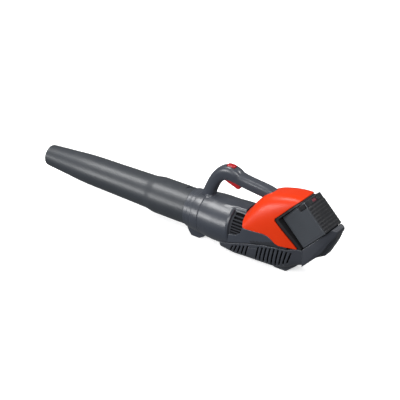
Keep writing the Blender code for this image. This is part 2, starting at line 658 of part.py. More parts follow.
end_side = [(U_PANEL + GAP, BATTERY_HALF - 1), (U_PANEL + 2, BATTERY_HALF - 1), (U_REAR, BATTERY_HALF - 10)]
end_outline = [(u, -y) for u, y in end_side] + end_side[::-1]
end = loft("battery_end", [[(u, y, z) for u, y in end_outline] for z in (-W_LOW + 1, -CAP_W - GAP)],
           "black_plastic", battery_frame)
for k in range(8):
    low = -W_LOW + 7 + 9 * k
    boolean(end, block("end_groove", (U_REAR - 1.6, -60, low), (U_REAR + 5, 60, low + 4),
                       parent=battery_frame))
settle(end)
cap_outline = [(u - (2.4 if u > U_PANEL + 3 else 0), y * 0.94) for u, y in end_outline]
cap = loft("battery_cap", [[(u, y, z) for u, y in cap_outline] for z in (-CAP_W, -W_TOP - 1)],
           "black_plastic", battery_frame)
boolean(cap, block("indicator_recess", (U_REAR - 6, -12, -CAP_W + 4), (U_REAR + 5, 12, -W_TOP - 5),
                   parent=battery_frame))
settle(cap)
block("charge_window", (U_REAR - 5.7, -11.6, -CAP_W + 4.4), (U_REAR - 3.6, 4.6, -W_TOP - 5.4),
      "cell_wrap", battery_frame)
block("charge_button", (U_REAR - 5.0, 5.4, -CAP_W + 4.4), (U_REAR - 2.4, 11.6, -W_TOP - 5.4), "black_plastic",
      battery_frame, bevel=0.5)

for name, side in (("battery_button_left", -1), ("battery_button_right", 1)):
    depth = sorted((side * (BATTERY_HALF + 1.2), side * (BATTERY_HALF - 5.5)))
    press = block(name, (BUTTON_U + 0.4, depth[0], -CAP_W + 1.4),
                  (BUTTON_U + 23.6, depth[1], -W_TOP - 2.9), "black_plastic", battery_frame)
    for k in range(5):
        low = BUTTON_U + 2.6 + 4.2 * k
        rib = sorted((side * (BATTERY_HALF + 0.4), side * (BATTERY_HALF + 3)))
        boolean(press, block("button_groove", (low, rib[0], -CAP_W - 5), (low + 1.8, rib[1], -W_TOP + 5),
                             parent=battery_frame))
    settle(press)

CELL_RADIUS = 9.2
cells = block("cell_pack", (U_FRONT + 6, -26, -W_LOW + 5), (U_FRONT + 42, 26, -W_TOP - 5), "cell_wrap",
              battery_frame)
for row in range(5):
    for column in range(2):
        u = U_FRONT + 4 + CELL_RADIUS + 19.2 * column
        w = W_TOP + 3.3 + CELL_RADIUS + 18.45 * row
        boolean(cells, rod("cell", u, -w, CELL_RADIUS, -33, 33, segments=12, parent=battery_frame), "UNION")
settle(cells)
block("battery_board", (U_FRONT + 46, -30, -W_LOW + 6), (U_FRONT + 47.6, 30, -W_TOP - 22), "board_green",
      battery_frame)
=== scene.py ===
# Handheld battery leaf blower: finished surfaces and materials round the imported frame.
# Shapes are worked out in millimetres in the blower's own axis frame: x runs back along the fan
# axis, y to the right and z up. Battery pieces use a tilted frame: u up and back, y, v up and forward.

import math

import bpy
import numpy as np
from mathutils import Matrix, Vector


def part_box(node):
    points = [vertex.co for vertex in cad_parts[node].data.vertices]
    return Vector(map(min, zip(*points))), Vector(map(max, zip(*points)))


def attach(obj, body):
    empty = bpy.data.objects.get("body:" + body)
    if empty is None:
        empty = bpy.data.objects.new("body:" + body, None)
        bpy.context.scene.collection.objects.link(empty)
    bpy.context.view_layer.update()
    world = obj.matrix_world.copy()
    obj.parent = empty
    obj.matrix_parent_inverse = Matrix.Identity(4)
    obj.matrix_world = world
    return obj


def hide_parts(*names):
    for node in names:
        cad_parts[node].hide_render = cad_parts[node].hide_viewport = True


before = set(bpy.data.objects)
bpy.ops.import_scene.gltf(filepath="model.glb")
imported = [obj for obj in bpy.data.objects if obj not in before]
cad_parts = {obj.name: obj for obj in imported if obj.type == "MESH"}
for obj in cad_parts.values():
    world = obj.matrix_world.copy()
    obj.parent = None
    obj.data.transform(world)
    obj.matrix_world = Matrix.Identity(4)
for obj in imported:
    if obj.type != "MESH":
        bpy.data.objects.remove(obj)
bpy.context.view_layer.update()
print("frame loaded:", len(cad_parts), "nodes")

mm = 0.001
gap = 0.3  # between mouldings that meet
farAway = 1e3
tubeLow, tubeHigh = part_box("nozzle_tube")
tubeTip = -611.0  # mouth of the tube, ahead of the fan
axisOrigin = np.array([tubeLow.x / mm - tubeTip, 0.0, (tubeLow.z + tubeHigh.z) / 2 / mm])
groundLevel = -axisOrigin[2]


def fullTurn(count):
    return np.linspace(0, 2 * math.pi, count, endpoint=False)


def signedPower(value, power):
    return np.sign(value) * np.abs(value)**power


def runLength(*coordinates):
    # distance along a line of points, from its first point
    steps = np.linalg.norm(np.diff(np.stack(coordinates), axis=1), axis=0)
    return np.concatenate([[0], np.cumsum(steps)])


def sidesOf(triangles):
    # the three directed sides of every triangle
    return triangles[:, [[0, 1], [1, 2], [2, 0]]].reshape(-1, 2)


def unit(vectors):
    # each row divided by its own length
    length = np.linalg.norm(vectors, axis=-1, keepdims=True)
    return vectors / np.maximum(length, 1e-9)


def throughStations(stations, column, at):
    # cubic between stations, with each station's slope taken from its two neighbours
    table = np.asarray(stations, float)
    xs, ys = table[:, 0], table[:, column]
    last = len(xs) - 1
    before, after = np.maximum(np.arange(last + 1) - 1, 0), np.minimum(np.arange(last + 1) + 1, last)
    slope = (ys[after] - ys[before]) / (xs[after] - xs[before])
    at = np.clip(at, xs[0], xs[-1])
    i = np.clip(np.searchsorted(xs, at, side="right") - 1, 0, last - 1)
    span = xs[i + 1] - xs[i]
    t = (at - xs[i]) / span
    return ((2 * t**3 - 3 * t**2 + 1) * ys[i] + (t**3 - 2 * t**2 + t) * span * slope[i]
            + (3 * t**2 - 2 * t**3) * ys[i + 1] + (t**3 - t**2) * span * slope[i + 1])


def easeStep(low, high, value):
    # 0 below low, 1 above high, a cubic ease between
    t = np.clip((value - low) / (high - low), 0, 1)
    return t * t * (3 - 2 * t)


def outlineDistance(outline, points):
    # signed distance to a closed outline in the plane, positive inside
    line = np.asarray(outline, float)
    following = np.roll(line, -1, axis=0)
    nearest = np.full(len(points), 1e9)
    inside = np.zeros(len(points), bool)
    for a, b in zip(line, following):
        along = b - a
        share = np.clip((points - a) @ along / (along @ along), 0, 1)
        nearest = np.minimum(nearest, np.linalg.norm(points - a - share[:, None] * along, axis=1))
        spans = (a[1] > points[:, 1]) != (b[1] > points[:, 1])
        rise = along[1] if abs(along[1]) > 1e-9 else 1e-9
        inside ^= spans & (points[:, 0] < a[0] + (points[:, 1] - a[1]) * along[0] / rise)
    return np.where(inside, nearest, -nearest)


def boxDistance(offset, half, corner):
    # signed distance outside a rounded rectangle of half sizes half, positive outside
    reach = np.abs(offset) - (np.asarray(half, float) - corner)
    return np.linalg.norm(np.maximum(reach, 0), axis=1) + np.minimum(reach.max(1), 0) - corner


def softened(outline, radius, steps=4):
    # every corner of a closed outline becomes a quadratic arc that starts up to radius before it
    corner = np.asarray(outline, float)
    before, after = np.roll(corner, 1, axis=0) - corner, np.roll(corner, -1, axis=0) - corner
    start = corner + unit(before) * np.minimum(radius, 0.45 * np.linalg.norm(before, axis=1))[:, None]
    end = corner + unit(after) * np.minimum(radius, 0.45 * np.linalg.norm(after, axis=1))[:, None]
    t = np.linspace(0, 1, steps + 1)[None, :, None]
    arcs = (1 - t)**2 * start[:, None] + 2 * t * (1 - t) * corner[:, None] + t**2 * end[:, None]
    return arcs.reshape(-1, 2)


def gridTriangles(rows, columns, wrap=False):
    # two triangles for each cell of a grid of points; columns close on themselves when wrap is set
    a = np.arange(rows - 1)[:, None] * columns + np.arange(columns if wrap else columns - 1)[None, :]
    right = (a % columns + 1) % columns + a // columns * columns
    corners = a, right, right + columns, a + columns
    p, q, r, s = (c.ravel() for c in corners)
    return np.concatenate([np.stack([p, q, r], 1), np.stack([p, r, s], 1)])


def vertexNormals(points, triangles):
    # triangle normals weighted by area and summed at each point
    a, b, c = (points[triangles[:, k]] for k in range(3))
    facing = np.cross(b - a, c - a)
    normals = np.zeros_like(points)
    for k in range(3):
        np.add.at(normals, triangles[:, k], facing)
    return unit(normals)


def outward(points, triangles):
    # turns all the triangles round if the volume that they enclose comes out negative
    a, b, c = (points[triangles[:, k]] for k in range(3))
    return triangles if np.einsum("ij,ij->i", a, np.cross(b, c)).sum() > 0 else triangles[:, ::-1]


def weld(points, triangles):
    # points that share a place to a micrometre become one, and flat triangles go
    _, first, same = np.unique(np.round(points, 3), axis=0, return_index=True, return_inverse=True)
    triangles = same.ravel()[triangles]
    return points[first], triangles[(triangles != np.roll(triangles, 1, axis=1)).all(1)]


def compact(points, triangles):
    used, renumbered = np.unique(triangles, return_inverse=True)
    return points[used], renumbered.reshape(-1, 3)


snap = 0.22  # share of an edge within which its end counts as close to the cut


def trimmed(points, triangles, keep):
    # cuts away the part of a triangle surface where keep is negative. A point close to the cut moves
    # onto it; every other crossed edge gets a new point where keep is zero along it.
    points, keep = points.copy(), keep.copy()
    count = len(points)
    sides = np.sort(sidesOf(triangles), axis=1)
    edges = np.unique(sides[:, 0] * count + sides[:, 1])

    def crossedEdges():
        # every edge that keep crosses, its two points and how far along it the crossing lies
        found = edges[keep[edges // count] * keep[edges % count] < 0]
        a, b = found // count, found % count
        return found, a, b, keep[a] / (keep[a] - keep[b])

    _, a, b, share = crossedEdges()
    ends, others, shares = (np.concatenate(pair) for pair in ((a, b), (b, a), (share, 1 - share)))
    near = np.nonzero(shares < snap)[0]
    near = near[np.argsort(-shares[near])]
    ends, others, shares = ends[near], others[near], shares[near]
    points[ends] = points[ends] + shares[:, None] * (points[others] - points[ends])
    keep[ends] = 0
    found, a, b, share = crossedEdges()
    points = np.concatenate([points, points[a] + share[:, None] * (points[b] - points[a])])

    def crossing(i, j):
        return count + np.searchsorted(found, np.minimum(i, j) * count + np.maximum(i, j))

    signs = np.sign(keep)[triangles].astype(int)
    kept = [triangles[(signs.min(1) >= 0) & (signs.max(1) > 0)]]
    for turn in range(3):
        i, j, k = np.roll(triangles, -turn, axis=1).T
        ij, jk, ik = crossing(i, j), crossing(j, k), crossing(i, k)
        cases = (((1, -1, -1), (i, ij, ik)), ((1, 0, -1), (i, j, ik)), ((1, -1, 0), (i, ij, k)),
                 ((1, 1, -1), (i, j, jk)), ((1, 1, -1), (i, jk, ik)))
        for pattern, corners in cases:
            kept.append(np.stack(corners, 1)[(np.roll(signs, -turn, axis=1) == pattern).all(1)])
    return compact(points, np.concatenate(kept))


def shell(points, triangles, wall, lip):
    # a surface becomes a closed moulding: the rim turns over in a quarter round of radius lip, drops
    # to the wall's depth and meets an inner skin that lies wall behind the outer one
    count = len(points)
    normals = vertexNormals(points, triangles)
    directed = sidesOf(triangles)
    rim = directed[~np.isin(directed @ (count, 1), directed @ (1, count))]
    along = np.zeros_like(points)
    step = unit(points[rim[:, 1]] - points[rim[:, 0]])
    np.add.at(along, rim[:, 0], step)
    np.add.at(along, rim[:, 1], step)
    rimPoints, place = np.unique(rim, return_inverse=True)
    place = place.reshape(-1, 2)
    away = unit(np.cross(unit(along[rimPoints]), normals[rimPoints]))
    base, up = points[rimPoints], normals[rimPoints]
    angles = np.linspace(0, math.pi / 2, 4)[1:]
    rings = [base + away * lip * math.sin(t) - up * lip * (1 - math.cos(t)) for t in angles]
    rings.append(base + away * lip - up * wall)
    inner = points - normals * wall
    around = np.arange(len(rimPoints))
    numbers = [rimPoints] + [count + len(rimPoints) * k + around for k in range(len(rings))]
    innerStart = count + len(rimPoints) * len(rings)
    numbers.append(innerStart + rimPoints)
    faces = [triangles, triangles[:, ::-1] + innerStart]
    for near, far in zip(numbers, numbers[1:]):
        i, j = near[place[:, 0]], near[place[:, 1]]
        m, n = far[place[:, 0]], far[place[:, 1]]
        faces += [np.stack([j, i, m], 1), np.stack([j, m, n], 1)]
    return np.concatenate([points, *rings, inner]), np.concatenate(faces)


def aroundAxis(x, radius, segments):
    # a grid about the x axis: a column of places and their radii against an even row of angles
    angle = fullTurn(segments)[None, :]
    points = np.stack([x + 0 * angle, radius * np.cos(angle), radius * np.sin(angle)], 2)
    return points.reshape(-1, 3), gridTriangles(len(x), segments, True)


def turned(profile, segments):
    # a closed profile of (x, radius) turned about the x axis
    line = np.asarray([*profile, profile[0]], float)
    points, triangles = weld(*aroundAxis(line[:, :1], line[:, 1:], segments))
    return points, outward(points, triangles)


def roundedBlock(low, high, radius, spacing=4.0):
    # a box with quarter-round edges: the nearest point of its core, plus radius along the way out
    low, high = np.asarray(low, float), np.asarray(high, float)
    bend = radius * np.tan(np.linspace(math.pi / 4, 0, 3, endpoint=False))
    lines = []
    for k in range(3):
        cells = max(1, math.ceil((high[k] - low[k] - 2 * radius) / spacing))
        flat = np.linspace(low[k] + radius, high[k] - radius, cells + 1)
        lines.append(np.concatenate([low[k] + radius - bend, flat, high[k] - radius + bend[::-1]]))
    allPoints, allTriangles, count = [], [], 0
    for axis in range(3):
        m, n = (axis + 1) % 3, (axis + 2) % 3
        for level in (low[axis], high[axis]):
            q = np.zeros((len(lines[m]), len(lines[n]), 3))
            q[..., axis], q[..., m], q[..., n] = level, lines[m][:, None], lines[n][None, :]
            q = q.reshape(-1, 3)
            core = np.clip(q, low + radius, high - radius)
            triangles = gridTriangles(len(lines[m]), len(lines[n]))
            if level == high[axis]:
                triangles = triangles[:, ::-1]
            allPoints.append(core + radius * unit(q - core))
            allTriangles.append(triangles + count)
            count += len(q)
    points, triangles = weld(np.concatenate(allPoints), np.concatenate(allTriangles))
    return points, outward(points, triangles)


def roundedPrism(outline, half, edge, corner, slices=8):
    # a flat outline of (x, z) points carried across y, its rims turned over by quarter rounds of
    # radius edge
    ring = softened(outline, corner)
    following = np.roll(ring, -1, axis=0)
    area = (ring[:, 0] * following[:, 1] - following[:, 0] * ring[:, 1]).sum()
    ring = ring if area > 0 else ring[::-1]
    tangent = unit(np.roll(ring, -1, axis=0) - np.roll(ring, 1, axis=0))
    away = np.stack([tangent[:, 1], -tangent[:, 0]], 1)
    angles = np.linspace(0, math.pi / 2, 5)
    flat = np.linspace(-half + edge, half - edge, slices + 1)[1:-1]
    turning = edge * (1 - np.cos(angles))
    across = np.concatenate([turning - half, flat, half - turning[::-1]])
    inset = np.concatenate([edge * (1 - np.sin(angles)), 0 * flat, edge * (1 - np.sin(angles[::-1]))])
    flatPoints = ring[None] - away[None] * inset[:, None, None]
    y = np.broadcast_to(across[:, None], flatPoints.shape[:2])
    points = np.stack([flatPoints[..., 0], y, flatPoints[..., 1]], 2).reshape(-1, 3)
    sides = gridTriangles(len(across), len(ring), True)[:, ::-1]
    numbers = list(range(len(points)))
    return points, sides, [numbers[:len(ring)], numbers[:-len(ring) - 1:-1]]


def lofted(rings):
    # a skin over rings of equal length with a centre-point fan at both ends
    rings = np.asarray(rings, float)
    rows, columns = rings.shape[:2]
    points = np.concatenate([rings.reshape(-1, 3), rings[:1].mean(1), rings[-1:].mean(1)])
    ring, last = np.arange(columns), (rows - 1) * columns
    following, centre = np.roll(ring, -1), np.full(columns, rows * columns)
    start = np.stack([centre, following, ring], 1)
    end = np.stack([last + ring, last + following, centre + 1], 1)
    triangles = np.concatenate([gridTriangles(rows, columns, True), start, end])
    return points, outward(points, triangles)


def joined(*meshes):
    # several closed meshes as one list of points and one of triangles
    counts = np.cumsum([0] + [len(points) for points, _ in meshes[:-1]])
    return (np.concatenate([points for points, _ in meshes]),
            np.concatenate([triangles + start for (_, triangles), start in zip(meshes, counts)]))


def untilted(points):
    # from the battery's frame (u, y, v) to the axis frame: a turn of 45 degrees about y
    u, y, v = points.T
    return np.stack([(u - v) / math.sqrt(2), y, (u + v) / math.sqrt(2)], 1)


def edgeValue(points, triangles):
    # how convex the surface is at each point: the turn of the normal along each edge, per millimetre
    normals = vertexNormals(points, triangles)
    sides = sidesOf(triangles)
    run = points[sides[:, 1]] - points[sides[:, 0]]
    turn = normals[sides[:, 1]] - normals[sides[:, 0]]
    bend = (turn * run).sum(1) / np.maximum((run * run).sum(1), 1e-4)
    total, weight = np.zeros(len(points)), np.zeros(len(points))
    for k in range(2):
        np.add.at(total, sides[:, k], bend)
        np.add.at(weight, sides[:, k], 1)
    return np.clip(total / np.maximum(weight, 1) * 1.1, 0, 1)


def placed(name, data):
    made = bpy.data.objects.new(name, data)
    bpy.context.scene.collection.objects.link(made)
    return made


sharpAngle = math.radians(38)


def piece(name, shape, finish, body, stands, tilt=False):
    # puts a shape into a mesh at its place in the frame, with its edge attribute and its finish
    points, triangles, *caps = shape
    polygons = triangles.tolist() + sum(caps, [])
    edge = edgeValue(points, triangles)
    if tilt:
        points = untilted(points)
    mesh = bpy.data.meshes.new(name)
    mesh.from_pydata(((points + axisOrigin) * mm).tolist(), [], polygons)
    mesh.attributes.new("edge", "FLOAT", "POINT").data.foreach_set("value", edge.astype(np.float32))
    mesh.shade_smooth()
    mesh.set_sharp_from_angle(angle=sharpAngle)
    mesh.materials.append(finishes[finish])
    made = placed(name, mesh)
    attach(made, body)
    if stands:
        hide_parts(*stands)
    return made


def newGroup(name, label, value, outputs):
    group = bpy.data.node_groups.new(name, "ShaderNodeTree")
    group.interface.new_socket(label, in_out="INPUT", socket_type="NodeSocketFloat").default_value = value
    for output in outputs:
        group.interface.new_socket(output, in_out="OUTPUT", socket_type="NodeSocketFloat")
    entry, out = group.nodes.new("NodeGroupInput"), group.nodes.new("NodeGroupOutput")
    return group, entry.outputs[0], out


def addNode(tree, kind, **settings):
    node = tree.nodes.new("ShaderNode" + kind)
    for key, value in settings.items():
        setattr(node, key, value)
    return node


def feed(tree, node, inputs):
    # each named or numbered input takes a value, or a link where a socket is given
    for label, value in inputs.items():
        if isinstance(value, bpy.types.NodeSocket):
            tree.links.new(value, node.inputs[label])
        elif value is not None:
            node.inputs[label].default_value = value
    return node


def maths(tree, operation, a, b, clamp=False):
    node = addNode(tree, "Math", operation=operation, use_clamp=clamp)
    return feed(tree, node, {0: a, 1: b}).outputs[0]


def weighed(tree, a, share, b):
    # a share of a and the rest of b
    return maths(tree, "ADD", maths(tree, "MULTIPLY", a, share), maths(tree, "MULTIPLY", b, 1 - share))


def objectPlace(tree):
    return addNode(tree, "TexCoord").outputs["Object"]


def noiseValue(tree, scale, detail=2.0, roughness=0.5):
    node = feed(tree, addNode(tree, "TexNoise", noise_dimensions="3D"), {
        "Vector": objectPlace(tree), "Scale": scale, "Detail": detail, "Roughness": roughness})
    return node.outputs["Factor" if "Factor" in node.outputs else "Fac"]


def mixColour(tree, factor, a, b):
    node = feed(tree, addNode(tree, "Mix", data_type="RGBA"), {"Factor": factor})
    sockets = [n for n, socket in enumerate(node.inputs) if socket.type == "RGBA"]
    colours = ((*colour, 1) if isinstance(colour, tuple) else colour for colour in (a, b))
    feed(tree, node, dict(zip(sockets, colours)))
    return [socket for socket in node.outputs if socket.type == "RGBA"][0]


def makeMouldGrain():
    # spark-eroded mould texture: fine noise over a coarser one, for height, and slow drift for tone
    group, scale, out = newGroup("mouldGrain", "Scale", 1400.0, ["Height", "Tone"])
    fine = noiseValue(group, scale, 3.0, 0.6)
    coarse = noiseValue(group, maths(group, "MULTIPLY", scale, 0.37))
    slow = noiseValue(group, 14.0, 3.0, 0.55)
    height, tone = weighed(group, fine, 0.7, coarse), weighed(group, slow, 0.75, fine)
    feed(group, out, {"Height": height, "Tone": tone})
    return group


def makeEdgeWear():
    # rubbed corners: the edge attribute raised by patchy noise, cut off below a threshold
    group, amount, out = newGroup("edgeWear", "Amount", 0.5, ["Mask"])
    edge = addNode(group, "Attribute", attribute_name="edge").outputs["Fac"]
    patches = noiseValue(group, 120.0, 4.0, 0.6)
    worn = maths(group, "MULTIPLY", edge, maths(group, "MULTIPLY", patches, 1.7))
    worn = maths(group, "SUBTRACT", worn, 0.18)
    feed(group, out, {"Mask": maths(group, "MULTIPLY", worn, amount, True)})
    return group


def makeSettledDust():
    # faint dust on faces that look up, broken by noise
    group, amount, out = newGroup("settledDust", "Amount", 0.1, ["Mask"])
    normal = addNode(group, "NewGeometry").outputs["Normal"]
    split = feed(group, addNode(group, "SeparateXYZ"), {0: normal})
    clouds = noiseValue(group, 38.0, 5.0, 0.65)
    up = maths(group, "MULTIPLY", maths(group, "MAXIMUM", split.outputs["Z"], 0.0), clouds)
    feed(group, out, {"Mask": maths(group, "MULTIPLY", up, amount, True)})
    return group


mouldGrain, edgeWear, settledDust = makeMouldGrain(), makeEdgeWear(), makeSettledDust()
plainFinish = dict(metallic=0.0, specular=0.5, coat=0.0, coatRoughness=0.15, grainScale=1400.0, wear=0.4,
                   dust=0.06, bumpDepth=0.00006)
dustColour = (0.42, 0.40, 0.37)


def mouldedFinish(name, deep, light, wornColour, roughness, drift, bump, own=None):
    # colour drifts between two tones, corners wear lighter, dust dulls the top; grain gives the bump
    values = plainFinish | (own or {})
    made = bpy.data.materials.new(name)
    made.use_nodes = True
    tree = made.node_tree
    grain, wear, dust = (feed(tree, addNode(tree, "Group", node_tree=group), {0: values[key]})
                         for group, key in ((mouldGrain, "grainScale"), (edgeWear, "wear"),
                                            (settledDust, "dust")))
    tone, worn, dusty = grain.outputs["Tone"], wear.outputs["Mask"], dust.outputs["Mask"]
    body = mixColour(tree, tone, deep, light)
    body = mixColour(tree, worn, body, wornColour)
    body = mixColour(tree, dusty, body, dustColour)
    rough = maths(tree, "ADD", roughness - drift / 2, maths(tree, "MULTIPLY", tone, drift))
    coat = values["coat"]
    # painted shade: on the vent band the colour is mixed towards a darker one that stands for the shade in
    # its recess, under the cover's front edge and the handle; the added roughness and the dropped coat only
    # change its reflections
    if "mattAndShade" in values:  # the vent band, marked by an attribute, is darker, rougher and uncoated
        mattAndShade = addNode(tree, "Attribute", attribute_name="mattAndShade").outputs["Fac"]
        body = mixColour(tree, mattAndShade, body, values["mattAndShade"])
        rough = maths(tree, "ADD", rough, maths(tree, "MULTIPLY", mattAndShade, 0.45))
        coat = maths(tree, "MULTIPLY", maths(tree, "SUBTRACT", 1.0, mattAndShade), coat)
    rough = maths(tree, "ADD", rough, maths(tree, "MULTIPLY", worn, 0.12))
    rough = maths(tree, "ADD", rough, maths(tree, "MULTIPLY", dusty, 0.5), True)
    raised = feed(tree, addNode(tree, "Bump"), {
        "Strength": bump, "Distance": values["bumpDepth"], "Height": grain.outputs["Height"]})
    feed(tree, tree.nodes["Principled BSDF"], {
        "Base Color": body, "Roughness": rough, "Normal": raised.outputs["Normal"], "Coat Weight": coat,
        "Metallic": values["metallic"], "Specular IOR Level": values["specular"],
        "Coat Roughness": values["coatRoughness"]})
    return made


finishValues = {
    # deep, light and worn colours, roughness, its drift, bump, then what differs from plainFinish
    "slate": ((0.028, 0.033, 0.044), (0.044, 0.051, 0.067), (0.15, 0.16, 0.2), 0.34, 0.1, 0.1,
        # the last colour is the vent band's painted shade
        dict(coat=0.25, coatRoughness=0.22, wear=0.25, mattAndShade=(0.012, 0.014, 0.02))),
    "tubeGrey": ((0.023, 0.027, 0.033), (0.037, 0.043, 0.052), (0.14, 0.15, 0.17), 0.4, 0.1, 0.14,
        dict(coat=0.08, coatRoughness=0.3, wear=0.3)),
    "orange": ((0.64, 0.026, 0.0005), (0.78, 0.042, 0.001), (0.9, 0.12, 0.03), 0.38, 0.1, 0.08,
        dict(specular=0.3, coat=0.04, coatRoughness=0.12, dust=0.0, wear=0.2)),
    "guard": ((0.028, 0.031, 0.04), (0.046, 0.051, 0.063), (0.28, 0.29, 0.33), 0.36, 0.12, 0.2,
        dict(grainScale=1100.0, wear=0.6)),
    "black": ((0.007, 0.007, 0.009), (0.016, 0.016, 0.019), (0.07, 0.07, 0.08), 0.45, 0.14, 0.25,
        dict(grainScale=1200.0)),
    "batteryGrey": ((0.042, 0.047, 0.055), (0.06, 0.067, 0.078), (0.4, 0.42, 0.46), 0.36, 0.12, 0.22,
        dict(wear=1.2)),
    "batteryBlack": ((0.006, 0.007, 0.009), (0.013, 0.014, 0.018), (0.11, 0.11, 0.13), 0.36, 0.14, 0.22),
    "red": ((0.3, 0.005, 0.009), (0.46, 0.009, 0.014), (0.6, 0.06, 0.05), 0.34, 0.1, 0.1,
        dict(wear=0.25, dust=0.02)),
    "nylon": ((0.01, 0.01, 0.011), (0.026, 0.026, 0.028), (0.1, 0.1, 0.1), 0.42, 0.12, 0.15),
    "steel": ((0.42, 0.43, 0.44), (0.62, 0.63, 0.64), (0.75, 0.75, 0.75), 0.28, 0.18, 0.1,
        dict(metallic=1.0, dust=0.02)),
    "aluminium": ((0.58, 0.59, 0.6), (0.76, 0.77, 0.78), (0.85, 0.85, 0.85), 0.36, 0.16, 0.16,
        dict(metallic=1.0, dust=0.02)),
    "copper": ((0.62, 0.24, 0.1), (0.86, 0.42, 0.22), (0.95, 0.6, 0.4), 0.3, 0.2, 0.5,
        dict(metallic=1.0, grainScale=500.0, bumpDepth=0.0003)),
    "boardGreen": ((0.012, 0.08, 0.03), (0.026, 0.14, 0.055), (0.4, 0.34, 0.12), 0.35, 0.2, 0.2,
        dict(coat=0.4)),
    "cellBlue": ((0.02, 0.14, 0.3), (0.045, 0.23, 0.42), (0.3, 0.4, 0.5), 0.3, 0.1, 0.06),
    "leadRed": ((0.22, 0.01, 0.008), (0.36, 0.018, 0.014), (0.5, 0.1, 0.08), 0.5, 0.1, 0.1),
    # painted shade: a near-black, rough, barely glossy finish for sheets that stand for the shade inside
    # slots, gaps and hollows
    "paintedShade": ((0.002, 0.002, 0.003), (0.005, 0.005, 0.006), (0.01, 0.01, 0.01), 0.85, 0.1, 0.2,
        dict(specular=0.12, dust=0.0)),
}
finishes = {name: mouldedFinish(name, *values) for name, values in finishValues.items()}


def chargeFinish():
    # a dark lens with four lit bars: the object's y is cut into steps by a rounded wave
    deep, light, worn, _, drift, _, own = finishValues["black"]
    made = mouldedFinish("chargeLens", deep, light, worn, 0.15, drift, 0.02, own | dict(coat=0.6))
    tree = made.node_tree
    split = feed(tree, addNode(tree, "SeparateXYZ"), {0: objectPlace(tree)})
    wave = maths(tree, "SINE", maths(tree, "MULTIPLY", split.outputs["Y"], 2 * math.pi / 0.004), None)
    lit = maths(tree, "GREATER_THAN", wave, 0.1)
    colour = mixColour(tree, lit, (0.0, 0.0, 0.0), (0.80, 0.10, 0.16))
    feed(tree, tree.nodes["Principled BSDF"], {"Emission Color": colour, "Emission Strength": 0.4})
    return made


finishes["chargeLens"] = chargeFinish()
print("finishes made:", len(finishes))


tube = {
    "stations": ((tubeTip, 30.0), (-608, 30.8), (-540, 36.2), (-465, 41.7), (-360, 44.2), (-262, 46.5),
                 (-243, 47.2), (-236, 48.0), (-219, 51.0), (-212, 51.6), (-190, 51.8), (-150, 52.0),
                 (-97.6, 52.0)),
    "wall": 2.85, "lip": 1.1, "segments": 168, "rootRadius": 52.0, "tipGroove": (-603.5, 0.5),
    # cuts in the unrolled root: middle, half sizes and corner radius
    "run": ((-118, 6.6), (6.5, 10.9), 2.0), "entry": ((-106, 12.8), (18.4, 4.6), 1.0),
    "notch": ((-99, -119.8), (6.5, 3.6), 1.0),
}


def flatAbout(points, side):
    # the tube's root unrolled about its top, or its underside: (x, arc length)
    angle = np.arctan2(points[:, 1], side * points[:, 2]) * side
    return np.stack([points[:, 0], angle * tube["rootRadius"]], 1)


def tubeShell():
    # radius follows the stations; two bayonet slots, half a turn apart, and a notch in the root's rim
    plain = np.concatenate([np.arange(tubeTip + tube["lip"], -598, 0.5), np.arange(-598, -136, 4.0)])
    near = np.linspace(-136, -97.6 - tube["lip"], 44)
    x = np.concatenate([plain, near])[:, None]
    radius = throughStations(tube["stations"], 1, x)
    grooveX, grooveDepth = tube["tipGroove"]
    radius = radius - grooveDepth * np.exp(-(x - grooveX)**2)
    points, triangles = aroundAxis(x, radius, tube["segments"])
    keep = np.full(len(points), farAway)
    for side, name in ((1, "run"), (1, "entry"), (-1, "run"), (-1, "entry"), (1, "notch")):
        middle, half, corner = tube[name]
        keep = np.minimum(keep, boxDistance(flatAbout(points, side) - middle, half, corner) - 0.5)
    return shell(*trimmed(points, triangles, keep), tube["wall"], tube["lip"])


piece("nozzleTube", tubeShell(), "tubeGrey", "tube", ["nozzle_tube"])

collar = {
    "profile": ((-135, 46.0), (-135, 48.2), (-134, 48.7), (-97.3, 48.7), (-97.3, 54.0), (-95.5, 55.4),
                (-84.2, 55.7), (-83.0, 57.4), (-70.2, 57.9), (-69.0, 59.0), (-46.0, 60.7), (-45.3, 60.0),
                (-45.3, 57.0), (-75, 52.0), (-95, 46.4)),
    # low and high corner of the lugs that the bayonet slots run on, above and below
    "lugs": (((-122, -3, 46), (-114, 3, 51)), ((-122, -3, -51), (-114, 3, -46))),
}
lugs = [roundedBlock(low, high, 0.8) for low, high in collar["lugs"]]
piece("outletCollar", joined(turned(softened(collar["profile"], 0.7, 3), 144), *lugs), "slate", "housing",
      ["outlet_collar"])
print("tube and collar made")


rearBody = {
    # x, top, half width, level of the widest point, bottom, top squareness
    "stations": (
        (30, 60, 58, 0, -62, 2.0), (72, 63, 61.5, 8, -66, 2.0), (100, 69, 61, 20, -66, 2.1),
        (126, 103, 60.5, 30, -66, 2.4), (150, 128, 60, 32, -66, 2.7), (174, 142, 59, 32, -65.5, 3.0),
        (199, 149, 57, 30, -65, 3.5), (230, 155, 53, 26, -58, 4.2), (261, 158, 47.5, 22, -42, 5.0),
        (286, 158, 44, 20, -33, 5.5)),
    "lowerSquareness": 5.0, "wall": 2.8, "quarter": 58, "step": 1.7, "bayU": 204.0, "bayW": 81.0,
    "coverLower": ((112, 32), (148, 34), (170, 36), (186, 33), (197, 26), (207, 17.5), (218, 13.5),
                   (240, 14.5), (262, 16), (272, 17)),
    "coverFront": ((106, 34), (103, 45), (99.5, 62), (95, 82)),
    "coverClose": ((300, 17), (300, 200), (90, 200)),
    "baseSeam": ((34, -36.5), (72, -24), (120, -9), (169, 3), (211, 8), (243, 9.2)),
    "baseClose": ((256, 12.5), (268, 16), (286, 16.4), (286, -90), (20, -90), (20, -36.5)),
    "fairingTip": (241, 13), "fairingFront": ((106, 31), (99, 12), (84, 3), (60, -2), (58, -27.5)),
}


